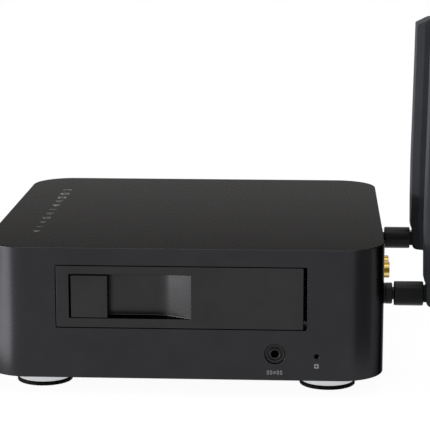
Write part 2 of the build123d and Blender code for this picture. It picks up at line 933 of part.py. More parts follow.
def antenna_barrel(side):
    """Swivel barrel of one aerial, with the tongue that carries the blade."""
    x = side * aerial_x
    barrel = rod_y(x, aerial_z, barrel_r, barrel_y0, barrel_y1)
    barrel = chamfer(barrel.edges().filter_by(GeomType.CIRCLE), barrel_chamfer)
    half = tongue_width / 2
    tongue = block(x - half, x + half, barrel_y1 - 1, tilt_y, aerial_z - tongue_r, aerial_z + tongue_r)
    tongue += rod_x(tilt_y, aerial_z, tongue_r, x - half, x + half)
    barrel += tongue
    barrel -= rod_y(x, aerial_z, spigot_r + running_gap, barrel_y0, barrel_y0 + barrel_bore_depth)
    return barrel - rod_x(tilt_y, aerial_z, tilt_pin_r + running_gap, x - half, x + half)


def tilt_pin(side):
    """Pin that the blade tilts on."""
    x = side * aerial_x
    return rod_x(tilt_y, aerial_z, tilt_pin_r, x - tilt_pin_length / 2, x + tilt_pin_length / 2)


def blade_section(x, height, width, thick):
    """Outline of the blade at a height above the tilt axis, with its corners bevelled."""
    half_w = width / 2
    half_t = thick / 2
    side_y = half_t - blade_bevel_side
    front_x = half_w - blade_bevel_front
    corners = [(half_w, -side_y), (half_w, side_y), (front_x, half_t), (-front_x, half_t)]
    corners += [(-half_w, side_y), (-half_w, -side_y), (-front_x, -half_t), (front_x, -half_t)]
    return Plane((x, tilt_y, aerial_z + height)) * make_face(Polyline(*corners, close=True))


def antenna_blade(side):
    """Flat aerial blade on its fork, with a closed slot inside for the radiator."""
    x = side * aerial_x
    fork = extrude(blade_section(x, -fork_drop, fork_width, 2 * fork_r), fork_drop + blade_step_h)
    fork = fillet(fork.edges().filter_by(Axis.X).group_by(Axis.Z)[0], fork_corner_r)
    step_width = fork_width + 2 * blade_step_out
    sections = [
        blade_section(x, blade_step_h - 2 * blade_step_t, fork_width, 2 * fork_r),
        blade_section(x, blade_step_h + blade_step_t, step_width, blade_thick),
        blade_section(x, blade_flare_h, blade_width, blade_thick),
        blade_section(x, blade_waist_h, blade_width, blade_thick),
        blade_section(x, blade_taper_h, blade_width, blade_mid_thick),
        blade_section(x, blade_length, blade_width, blade_tip_thick),
    ]
    blade = fork + loft(sections, ruled=True)
    blade = blade & tip_gable(x) & tip_front(x)
    slot_half = tongue_width / 2 + fork_slot_gap
    slot = block(
        x - slot_half, x + slot_half, tilt_y - fork_r - 2, tilt_y + tongue_r + fork_gap,
        aerial_z - fork_r - 1, aerial_z + tongue_r + fork_gap
    )
    blade -= slot
    blade -= rod_x(tilt_y, aerial_z, tilt_pin_r, x - tilt_pin_length / 2, x + tilt_pin_length / 2)
    half_w = radiator_width / 2 + radiator_gap
    half_t = radiator_t / 2 + radiator_gap
    return blade - block(
        x - half_w, x + half_w, tilt_y - half_t, tilt_y + half_t,
        aerial_z + radiator_low, aerial_z + radiator_high + radiator_gap
    )


def tip_gable(x):
    """Side outline that slopes the blade's end up to a rounded ridge, as a slab to keep."""
    low = aerial_z - fork_r - 1
    top = aerial_z + blade_length
    reach = blade_thick / 2 + 1
    slope = radians(blade_tip_slope)
    run = blade_ridge_r * sin(slope)
    bend = top - blade_ridge_r * (1 - cos(slope))
    eave = bend - (reach - run) * tan(slope)
    edges = [
        Polyline((tilt_y - run, bend), (tilt_y - reach, eave), (tilt_y - reach, low)),
        Polyline((tilt_y - reach, low), (tilt_y + reach, low), (tilt_y + reach, eave)),
        Line((tilt_y + reach, eave), (tilt_y + run, bend)),
        ThreePointArc((tilt_y + run, bend), (tilt_y, top), (tilt_y - run, bend)),
    ]
    plane = Plane((x - blade_width, 0, 0), x_dir=(0, 1, 0), z_dir=(1, 0, 0))
    return extrude(plane * make_face(edges), 2 * blade_width)


def tip_front(x):
    """Front outline that rounds the blade's upper corners, as a slab to keep."""
    low = aerial_z - fork_r - 1
    top = aerial_z + blade_length + 0.01
    plane = Plane((x, tilt_y - blade_thick, (low + top) / 2), x_dir=(1, 0, 0), z_dir=(0, 1, 0))
    outline = extrude(plane * Rectangle(blade_width + 0.01, top - low), 2 * blade_thick)
    corners = outline.edges().filter_by(Axis.Y).group_by(Axis.Z)[-1]
    return fillet(corners, blade_tip_r)


def antenna_radiator(side):
    """Metal strip inside the blade."""
    x = side * aerial_x
    half = radiator_width / 2
    return block(
        x - half, x + half, tilt_y - radiator_t / 2, tilt_y + radiator_t / 2,
        aerial_z + radiator_low, aerial_z + radiator_high
    )


def coax_points(side):
    """Route of one aerial lead from its socket down to the wireless module."""
    x = side * aerial_x
    y = panel_y0 - bulkhead_inner
    end_x = side * (module_width / 2 - 5)
    return (
        (x, y, aerial_z),
        (x, y - 11, aerial_z),
        (x - side * 3, y - 17, aerial_z - 9),
        (x - side * 12, y - 19, board_z1 + 9),
        (x - side * 27, y - 21, board_z1 + 6),
        (x - side * 42, module_y + 2, board_z1 + 9),
        (end_x, module_y, board_z1 + 9),
        (end_x, module_y, board_z1 + module_h),
    )


def antenna_leads():
    """Thin leads between the aerial sockets and the wireless module."""
    return group([tube(coax_points(side), coax_r) for side in (-1, 1)])


def main_board():
    """Main board, notched at its two back corners."""
    board = block(board_x0, board_x1, board_y0, board_y1, board_z0, board_z1)
    notch_y = board_y1 - board_notch_depth
    left = board_x0 + board_notch_left
    board -= block(board_x0 - 1, left, notch_y, board_y1 + 1, board_z0, board_z1)
    right = board_x1 - board_notch_right
    board -= block(right, board_x1 + 1, notch_y, board_y1 + 1, board_z0, board_z1)
    for x, y in board_screw_places + post_places:
        board -= rod_z(x, y, board_screw_r, board_z0, board_z1)
    return board


def board_standoffs():
    """Threaded spacers between the base plate and the main board."""
    spacers = []
    for x, y in board_screw_places + post_places:
        spacer = rod_z(x, y, standoff_r, plate_z1, board_z0)
        spacers.append(spacer - rod_z(x, y, board_screw_r, plate_z1 + standoff_floor, board_z0))
    return group(spacers)


def board_screws():
    """Screws that hold the main board and the front board, all alike."""
    screws = []
    for x, y in board_screw_places:
        head = rod_z(x, y, board_screw_head_r, board_z1, board_z1 + board_screw_head_h)
        screws.append(head + rod_z(x, y, board_screw_r, board_z0 - board_screw_grip, board_z1))
    for x, z in display_post_places():
        y = display_board_y0
        head = rod_y(x, z, board_screw_head_r, y, y + board_screw_head_h)
        screws.append(head + rod_y(x, z, screw_r, y - board_t - display_screw_grip, y))
    return group(screws)


def board_chips():
    """Processor and four memory chips."""
    half = processor_size / 2
    chips = [block(-half, half, processor_y - half, processor_y + half, board_z1, board_z1 + processor_t)]
    long, wide = memory_length / 2, memory_width / 2
    for x in (-memory_x, memory_x):
        for y in (processor_y - memory_pitch / 2, processor_y + memory_pitch / 2):
            chips.append(block(x - long, x + long, y - wide, y + wide, board_z1, board_z1 + memory_t))
    return group(chips)


def heat_sink():
    """Finned cooler on the processor."""
    half = sink_size / 2
    base_z = board_z1 + processor_t
    fins = [block(-half, half, processor_y - half, processor_y + half, base_z, base_z + sink_base)]
    pitch = (sink_size - fin_t) / (fin_count - 1)
    for i in range(fin_count):
        x = -half + i * pitch
        fins.append(block(
            x, x + fin_t, processor_y - half, processor_y + half, base_z + sink_base, floor_z0 - sink_gap
        ))
    return join(fins)


def wireless_module():
    """Shielded wireless module."""
    half = module_width / 2
    return block(
        -half, half, module_y - module_depth / 2, module_y + module_depth / 2, board_z1, board_z1 + module_h
    )


def capacitors():
    """Four round capacitors near the power socket."""
    cans = []
    for i in range(4):
        x = board_x0 + capacitor_inset_x + i * (2 * capacitor_r + capacitor_gap)
        cans.append(rod_z(x, board_y1 - capacitor_inset_y, capacitor_r, board_z1, board_z1 + capacitor_h))
    return group(cans)


def board_sockets():
    """Sockets on the main board: a slotted one for the riser and one for the front lead."""
    x0 = riser_x0 - riser_socket_t
    x1 = connector_x0 + riser_socket_t
    y0 = connector_y - riser_width / 2
    y1 = connector_y + riser_width / 2
    riser = block(x0, x1, y0 - riser_socket_t, y1 + riser_socket_t, board_z1, board_z1 + board_socket_h)
    riser -= block(
        riser_x0, connector_x0, y0, y1, board_z1 + board_socket_h - riser_slot, board_z1 + board_socket_h
    )
    half = board_socket_width / 2
    front_y = board_y0 + board_socket_inset
    front = block(
        lead_x - half, lead_x + half, front_y, front_y + board_socket_depth, board_z1,
        board_z1 + board_socket_h
    )
    return group([riser, front])


def riser_board():
    """Upright board that carries the drive connector."""
    low = board_z1 + board_socket_h - riser_slot
    high = floor_z1 + connector_rise + connector_height + riser_rise
    return block(
        riser_x0, connector_x0, connector_y - riser_width / 2, connector_y + riser_width / 2, low, high
    )


def drive_connector():
    """Connector that the drive slides on to: a housing with two blades in it."""
    low = floor_z1 + connector_rise
    high = low + connector_height
    x1 = connector_x0 + connector_depth
    half = connector_width / 2
    body = block(connector_x0, x1, connector_y - half, connector_y + half, low, high)
    mouth_x = x1 - connector_mouth
    reach = half - connector_wall
    body -= block(
        mouth_x, x1, connector_y - reach, connector_y + reach, low + connector_wall, high - connector_wall
    )
    contact_z = (low + high - contact_t) / 2
    outer, inner = half - contact_inset, contact_gap / 2
    for y0, y1 in ((connector_y - outer, connector_y - inner), (connector_y + inner, connector_y + outer)):
        body += block(mouth_x, x1 - contact_step, y0, y1, contact_z, contact_z + contact_t)
    return body


def bay_floor():
    """Metal floor of the drive bay, with long air slots."""
    floor = block(
        connector_x0 + bay_floor_start, frame_x0 - bay_end_gap, rail_y0 - rail_t - rail_flange,
        rail_y1 + rail_t + rail_flange, floor_z0, floor_z1
    )
    middle = (drive_y0 + drive_y1) / 2
    for x in (-bay_slot_pitch_x, 0, bay_slot_pitch_x):
        for y in (middle - bay_slot_pitch_y, middle, middle + bay_slot_pitch_y):
            floor -= extrude(Pos(x, y, floor_z0) * SlotOverall(bay_slot_length, bay_slot_width), bay_floor_t)
    for x, y in bay_screw_places():
        floor -= rod_z(x, y, bay_screw_r, floor_z0, floor_z1)
    return floor


def bay_screw_places():
    """Where the rails and the floor are screwed to the posts."""
    return [(x, y) for x in (-post_x, post_x) for y in (front_post_y, back_post_y)]


def bay_rails():
    """Two angle rails that guide the drive."""
    rails = []
    x0 = connector_x0 + connector_depth
    x1 = frame_x0 - bay_end_gap
    for face, out in ((rail_y0, -1), (rail_y1, 1)):
        upright_y = sorted((face, face + out * rail_t))
        flange_y = sorted((face + out * rail_t, face + out * (rail_t + rail_flange)))
        rail = block(x0, x1, *upright_y, floor_z1, floor_z1 + rail_height)
        rail += block(x0, x1, *flange_y, floor_z1, floor_z1 + rail_t)
        for x, y in bay_screw_places():
            rail -= rod_z(x, y, bay_screw_r, floor_z1, floor_z1 + rail_t)
        rails.append(rail)
    return group(rails)


def bay_posts():
    """Posts under the bay floor: two on the base plate and two on the main board."""
    posts = []
    for x, y in bay_screw_places():
        low = board_z1 if y > board_y0 else plate_z1
        post = rod_z(x, y, post_r, low, floor_z0)
        posts.append(post - rod_z(x, y, bay_screw_r, floor_z0 - bay_screw_grip, floor_z0))
    return group(posts)


def bay_screws():
    """Screws through the rails and the floor into the posts."""
    screws = []
    for x, y in bay_screw_places():
        head_z = floor_z1 + rail_t
        head = rod_z(x, y, bay_screw_head_r, head_z, head_z + bay_screw_head_h)
        screws.append(head + rod_z(x, y, bay_screw_r, floor_z0 - bay_screw_grip, head_z))
    return group(screws)


def bay_frame():
    """Plastic frame behind the mouth, with an ear at each end and holes for the hinge pins."""
    outer = slab_x(
        mouth_y0 - frame_rim, mouth_y1 + frame_rim, mouth_z0 - frame_rim, mouth_z1 + frame_rim,
        mouth_corner_r + 1, frame_x0, wall_x
    )
    frame = outer - block(frame_x0, wall_x, mouth_y0, mouth_y1, mouth_z0, mouth_z1)
    middle = (mouth_z0 + mouth_z1) / 2
    low = middle - frame_ear_h / 2
    for y in stud_places():
        half = frame_ear / 2
        ear = block(wall_x - frame_ear_t, wall_x, y - half, y + half, low, low + frame_ear_h)
        frame += ear
        frame -= rod_x(y, middle, stud_r, wall_x - frame_ear_t, wall_x)
    return frame - rod_z(hinge_x, hinge_y, hinge_pin_r, mouth_z0 - frame_rim, mouth_z1 + frame_rim)


def frame_nuts():
    """Push-on nuts that hold the frame on the case's studs."""
    middle = (mouth_z0 + mouth_z1) / 2
    nuts = []
    for y in stud_places():
        x1 = wall_x - frame_ear_t
        nuts.append(rod_x(y, middle, nut_r, x1 - nut_t, x1) - rod_x(y, middle, stud_r, x1 - nut_t, x1))
    return group(nuts)


def door_hinge_pins():
    """Short pins at the door's foot and head."""
    low = rod_z(hinge_x, hinge_y, hinge_pin_r, mouth_z0 - frame_rim, door_z0 + hinge_pin_grip)
    high = rod_z(hinge_x, hinge_y, hinge_pin_r, door_z1 - hinge_pin_grip, mouth_z1 + frame_rim)
    return group([low, high])


def drive_door():
    """Door with its hinge block, and a tub behind the finger scoop."""
    door = slab_x(door_y0, door_y1, door_z0, door_z1, mouth_corner_r - door_gap, skin_x, case_x1)
    hinge_y0 = hinge_y - hinge_back
    hinge = block(hinge_x - hinge_back, skin_x, hinge_y0, door_y1, door_z0, door_z1)
    hinge = chamfer(hinge.edges().filter_by(Axis.Z).group_by(Axis.X)[0].sort_by(Axis.Y)[-1], hinge_chamfer)
    door += hinge
    door += block(tub_x0, skin_x, tub_y0, tub_y1, handle_z0 - tub_margin, handle_z1 + tub_margin)
    door -= block(tub_x0 - 1, case_x1 + 1, handle_y0, tub_y0, handle_z0, handle_z1)
    door -= scoop()
    bore_r = hinge_pin_r + running_gap
    door -= rod_z(hinge_x, hinge_y, bore_r, door_z0, door_z0 + hinge_pin_grip + 0.2)
    door -= rod_z(hinge_x, hinge_y, bore_r, door_z1 - hinge_pin_grip - 0.2, door_z1)
    pin_z0, pin_z1 = pivot_pin_span()
    return door - rod_z(pivot_x, pivot_y, pivot_pin_r, pin_z0, pin_z1)


def scoop():
    """Finger scoop: level beside the flap, then a steady curve out to the door's face."""
    floor_x = case_x1 - scoop_depth
    bend_y = flap_y1 + scoop_floor
    run = handle_y1 - bend_y
    bend_r = (run**2 + scoop_depth**2) / (2 * scoop_depth)
    half_turn = atan2(run, bend_r - scoop_depth) / 2
    bend_middle = (floor_x + bend_r * (1 - cos(half_turn)), bend_y + bend_r * sin(half_turn))
    edges = [
        Line((floor_x, tub_y0), (floor_x, bend_y)),
        ThreePointArc((floor_x, bend_y), bend_middle, (case_x1, handle_y1)),
        Polyline((case_x1, handle_y1), (case_x1 + 1, handle_y1), (case_x1 + 1, tub_y0), (floor_x, tub_y0)),
    ]
    return extrude(Pos(0, 0, handle_z0) * make_face(edges), handle_height)


def pivot_pin_span():
    """Lowest and highest point of the flap's pin."""
    return handle_z0 - pivot_pin_grip, handle_z1 + pivot_pin_grip


def latch_pin():
    """Pin that the flap turns on."""
    pin_z0, pin_z1 = pivot_pin_span()
    return rod_z(pivot_x, pivot_y, pivot_pin_r, pin_z0, pin_z1)


def latch_lever():
    """Pull flap with a hub, an arm inwards and a nose that hooks behind the keeper."""
    lever = block(case_x1 - flap_t, case_x1, flap_y0, flap_y1, flap_z0, flap_z1)
    lever = chamfer(lever.edges().group_by(Axis.X)[-1], flap_chamfer)
    lever += rod_z(pivot_x, pivot_y, hub_r, flap_z0, flap_z1)
    lever += block(arm_x0, pivot_x, arm_y0, arm_y1, flap_z1 - arm_height, flap_z1)
    lever += block(arm_x0, arm_x0 + nose_t, arm_y1 - nose_width, arm_y1, flap_z1 - arm_height / 2, nose_z1)
    return lever - rod_z(pivot_x, pivot_y, pivot_pin_r + running_gap, flap_z0, flap_z1)


def latch_spring():
    """Bent leaf between the tub's wall and the lever's arm."""
    near_tub = tub_y0 - spring_t / 2
    near_arm = arm_y1 + spring_t / 2
    line = Polyline(
        (arm_x0 + 0.3, near_tub), (arm_x0 + 3.6, near_tub),
        (arm_x0 + 0.6, near_arm), (arm_x0 + 2.4, near_arm)
    )
    low = flap_z1 - arm_height / 2 - spring_height / 2
    return extrude(Pos(0, 0, low) * trace(line, spring_t), spring_height)


def keeper_clip():
    """Spring clip under the frame's head that the nose hooks behind."""
    x1 = keeper_x0 + keeper_t
    y1 = keeper_y0 + keeper_width
    flange_z = mouth_z1 - keeper_flange_t
    flange = block(keeper_x0 - keeper_flange, x1, keeper_y0, y1, flange_z, mouth_z1)
    return flange + block(keeper_x0, x1, keeper_y0, y1, mouth_z1 - keeper_leg, flange_z)


def serial_jack():
    """Round jack on the main board's edge, with its barrel in the case's hole."""
    half = jack_size / 2
    face_x = wall_x - 0.1
    body = block(face_x - jack_depth, face_x, jack_y - half, jack_y + half, board_z1, board_z1 + jack_size)
    barrel_x1 = case_x1 - jack_lip
    body += rod_x(jack_y, jack_z, jack_barrel_r, face_x, barrel_x1)
    return body - rod_x(jack_y, jack_z, jack_bore_r, barrel_x1 - jack_bore_depth, barrel_x1)


def jack_collar():
    """Ring round the jack's barrel, set into the case's hole."""
    x1 = case_x1 - jack_face_inset
    ring = rod_x(jack_y, jack_z, jack_hole_r - 0.1, wall_x - 0.1, x1)
    return ring - rod_x(jack_y, jack_z, jack_barrel_r, wall_x - 0.1, x1)


def reset_switch():
    """Small switch behind the pinhole."""
    half = reset_switch_size / 2
    x1 = wall_x - reset_switch_gap
    body = block(x1 - reset_switch_depth, x1, reset_y - half, reset_y + half, board_z1, reset_z + half)
    plunger_reach = reset_plunger_length + reset_plunger_gap - reset_switch_gap
    bore_depth = plunger_reach + reset_travel + reset_plunger_gap
    return body - rod_x(reset_y, reset_z, reset_plunger_r + running_gap, x1 - bore_depth, x1)


def reset_plunger():
    """Plunger of the reset switch."""
    x1 = wall_x - reset_plunger_gap
    return rod_x(reset_y, reset_z, reset_plunger_r, x1 - reset_plunger_length, x1)


def all_nodes():
    """Every node by name."""
    makers = (
        case_shell, bottom_plate, case_screws, foot_discs, foot_pads, foot_screws, front_window,
        display_board, display_module, ir_receiver, power_button, power_switch, front_lead, rear_panel,
        dc_socket, hdmi_sockets, lan_socket, usb_socket, socket_tongues, rca_housing, rca_jacks, rca_cores,
        antenna_bulkheads, antenna_couplings, antenna_leads, main_board, board_standoffs, board_screws,
        board_chips, heat_sink, wireless_module, capacitors, board_sockets, riser_board, drive_connector,
        bay_floor, bay_rails, bay_posts, bay_screws, bay_frame, frame_nuts, door_hinge_pins, drive_door,
        latch_pin, latch_lever, latch_spring, keeper_clip, serial_jack, jack_collar, reset_switch,
        reset_plunger
    )
    nodes = {make.__name__: make() for make in makers}
    for name, side in (("left", -1), ("right", 1)):
        nodes[f"antenna_barrel_{name}"] = antenna_barrel(side)
        nodes[f"antenna_blade_{name}"] = antenna_blade(side)
        nodes[f"antenna_pin_{name}"] = tilt_pin(side)
        nodes[f"antenna_radiator_{name}"] = antenna_radiator(side)
    return nodes


os.makedirs("parts", exist_ok=True)
for node_name, shape in all_nodes().items():
    export_step(shape, f"parts/{node_name}.step")
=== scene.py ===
import json
import logging
import math
from dataclasses import dataclass
from enum import Enum

import bmesh
import bpy
import numpy as np
from mathutils import Matrix, Quaternion, Vector
from mathutils.geometry import delaunay_2d_cdt

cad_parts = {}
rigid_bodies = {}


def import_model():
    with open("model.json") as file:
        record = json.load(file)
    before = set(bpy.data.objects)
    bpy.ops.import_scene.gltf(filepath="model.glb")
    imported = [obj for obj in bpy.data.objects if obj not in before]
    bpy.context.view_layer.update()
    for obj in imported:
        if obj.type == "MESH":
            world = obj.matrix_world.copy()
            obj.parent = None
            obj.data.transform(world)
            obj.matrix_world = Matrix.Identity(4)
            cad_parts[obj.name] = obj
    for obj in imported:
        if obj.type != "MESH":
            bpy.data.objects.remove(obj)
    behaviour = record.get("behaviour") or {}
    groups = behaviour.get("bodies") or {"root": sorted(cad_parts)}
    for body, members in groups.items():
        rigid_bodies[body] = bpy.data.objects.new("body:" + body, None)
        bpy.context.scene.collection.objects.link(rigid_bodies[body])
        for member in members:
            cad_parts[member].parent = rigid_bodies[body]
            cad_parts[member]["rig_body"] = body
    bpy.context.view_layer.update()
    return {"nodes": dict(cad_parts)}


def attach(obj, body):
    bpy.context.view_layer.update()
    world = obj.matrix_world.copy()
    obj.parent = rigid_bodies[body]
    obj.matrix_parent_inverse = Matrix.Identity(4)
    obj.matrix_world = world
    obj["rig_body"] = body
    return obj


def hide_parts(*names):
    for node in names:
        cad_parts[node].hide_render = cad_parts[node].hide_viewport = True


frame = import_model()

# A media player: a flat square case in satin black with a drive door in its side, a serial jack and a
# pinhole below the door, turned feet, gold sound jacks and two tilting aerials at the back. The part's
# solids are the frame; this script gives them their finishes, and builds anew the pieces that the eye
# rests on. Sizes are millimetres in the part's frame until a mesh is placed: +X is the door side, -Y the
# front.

MM = 0.001
Array = np.ndarray
Pair = tuple[float, float]
Place = tuple[float, float, float]
Row = tuple[float, ...]
Line = list[Row] | tuple[Row, ...]
Node = bpy.types.Node
Socket = bpy.types.NodeSocket
Inputs = dict[str | int, object] | tuple[object, ...]
log = logging.getLogger("media_player")

# Places that several pieces share: the walls' outside and inside, the roof, the middles of what stands in
# the walls and under the case, and the heights of the case's underside and of the screws' seats in the feet.
FACE, INSIDE, ROOF = 90.0, 88.0, 67.1
MOUTH = (-0.25, 44.9)
STUDS_Y = (-62.25, 61.75)
JACK = (41.5, 19.8)
PINHOLE_Y = 60.0
WINDOW = (-7.0, 37.4)
BUTTON = (58.0, 37.4)
TAB_X = 63.8
AERIAL_X, AERIAL_Z = 62.6, 41.8
BOSS = (78.0, 76.0)
FOOT = (65.0, 65.0)
UNDERSIDE, FOOT_SEAT = 7.7, 4.05


class Facing(Enum):
    """Way that a flat looks: its two drawing axes and the way out, a right-handed set."""

    DOOR = ((0, 1, 0), (0, 0, 1), (1, 0, 0))
    PLAIN = ((0, -1, 0), (0, 0, 1), (-1, 0, 0))
    FRONT = ((1, 0, 0), (0, 0, 1), (0, -1, 0))
    BACK = ((-1, 0, 0), (0, 0, 1), (0, 1, 0))
    TOP = ((1, 0, 0), (0, 1, 0), (0, 0, 1))
    UNDER = ((1, 0, 0), (0, -1, 0), (0, 0, -1))

    def place(self, flat: Array, out: Array | float) -> Array:
        """Puts drawn points into the part's frame: a and b along the drawing axes, and out.

        Args:
            flat: Points as (..., 2), in a and b.
            out: Distance along the way out, of a shape that fits flat without its last axis.

        Returns:
            Points as (..., 3).
        """
        axes = np.array(self.value, float)
        out = np.broadcast_to(out, flat.shape[:-1])
        return flat @ axes[:2] + out[..., None] * axes[2]

    def drawn(self, x: float, y: float, z: float) -> Place:
        """Returns a, b and the distance out of a point of the part's frame."""
        return tuple(float(v) for v in np.array(self.value, float) @ (x, y, z))


DOOR, PLAIN, FRONT, BACK, TOP, UNDER = Facing


def quarter(radius: Array | float, steps: int) -> Array:
    """Round corners, drawn from the square corner that they cut: radius * (cos t - 1, sin t - 1).

    Args:
        radius: Radius, one number or one for each ring.
        steps: Parts of the quarter turn of t.

    Returns:
        Points as (points, 2) for one radius, (rings, points, 2) for several.
    """
    turn = np.linspace(0, np.pi / 2, steps + 1)
    unit = np.stack((np.cos(turn) - 1, np.sin(turn) - 1), -1)
    return np.multiply.outer(np.asarray(radius, float), unit)


def ring(width: Array, height: Array, corner: Array, side_steps: int = 0) -> Array:
    """Closed rectangles about the origin with shaped corners, turning left from the +a side.

    Point j of the first corner is (half width, half height) + corner_j. The other three corners are its
    mirror images, taken backwards where one mirror swaps the turn. The straight sides between the corners
    are cut evenly into side_steps + 1 parts.

    Args:
        width: Full sizes along a, one for each ring.
        height: Full sizes along b.
        corner: A corner as (points, 2), or one for each ring.
        side_steps: Points added to each straight side.

    Returns:
        Points as (rings, points, 2).
    """
    first = np.stack((width, height), -1)[:, None] / 2 + corner
    back = first[:, ::-1]
    arcs = np.stack((first, back * (-1, 1), -first, back * (1, -1)), 1)
    share = np.linspace(0, 1, side_steps + 2)[1:-1, None]
    start, end = arcs[:, :, -1:], np.roll(arcs[:, :, :1], -1, axis=1)
    arcs = np.concatenate((arcs, start + (end - start) * share), axis=2)
    return arcs.reshape(len(arcs), -1, 2)


@dataclass(frozen=True)
class Outline:
    """Rounded rectangle drawn in a and b. A circle and a slot are its limits."""

    a: float
    b: float
    width: float
    height: float
    corner: float = 0.0
    steps: int = 5

    @classmethod
    def circle(cls, a: float, b: float, radius: float, steps: int = 12) -> "Outline":
        """Returns a circle, with steps parts to each quarter."""
        return cls(a, b, 2 * radius, 2 * radius, radius, steps)

    def points(self, inset: Array | float = 0.0) -> Array:
        """The outline moved inwards: a corner's radius falls with the inset, and then its centre moves in.

        Args:
            inset: Distance inwards, one number or one for each wanted ring; a negative one moves outwards.

        Returns:
            Points as (points, 2) for one inset, (rings, points, 2) for several.
        """
        each = np.atleast_1d(inset).astype(float)
        corner = quarter(np.maximum(self.corner - each, 0), self.steps)
        rings = ring(self.width - 2 * each, self.height - 2 * each, corner)
        rings = rings + (self.a, self.b)
        return rings if np.ndim(inset) else rings[0]


def rounded(corners: Line, steps: int = 4) -> Array:
    """A bent line whose corners are turned with tangent arcs.

    At a corner of radius r whose two runs open by the angle w, the arc starts and ends r / tan(w / 2) from
    the corner, and its centre lies r / sin(w / 2) from it on the bisector.

    Args:
        corners: Rows of two coordinates and an optional radius.
        steps: Parts of each arc.

    Returns:
        Points as (points, 2), with no two equal in a row.
    """
    rows = [np.array(c[:2], float)[None] for c in corners]
    for i in range(1, len(corners) - 1):
        if len(corners[i]) < 3 or corners[i][2] <= 0:
            continue
        radius, here = corners[i][2], np.array(corners[i][:2], float)
        back = np.array(corners[i - 1][:2], float) - here
        ahead = np.array(corners[i + 1][:2], float) - here
        back, ahead = back / np.linalg.norm(back), ahead / np.linalg.norm(ahead)
        half = math.acos(float(np.clip(back @ ahead, -1, 1))) / 2
        middle = here + (back + ahead) / np.linalg.norm(back + ahead) * radius / math.sin(half)
        first = here + back * radius / math.tan(half) - middle
        last = here + ahead * radius / math.tan(half) - middle
        turn, share = math.pi - 2 * half, np.linspace(0, 1, steps + 1)[:, None]
        rows[i] = middle + (np.sin((1 - share) * turn) * first + np.sin(share * turn) * last) / math.sin(turn)
    line = np.concatenate(rows)
    keep = np.ones(len(line), bool)
    keep[1:] = np.linalg.norm(np.diff(line, axis=0), axis=1) > 1e-7
    return line[keep]


def four(x: float, y: float) -> list[Pair]:
    """Returns the four places at x and y from the middle."""
    return [(sx * x, sy * y) for sx in (-1, 1) for sy in (-1, 1)]


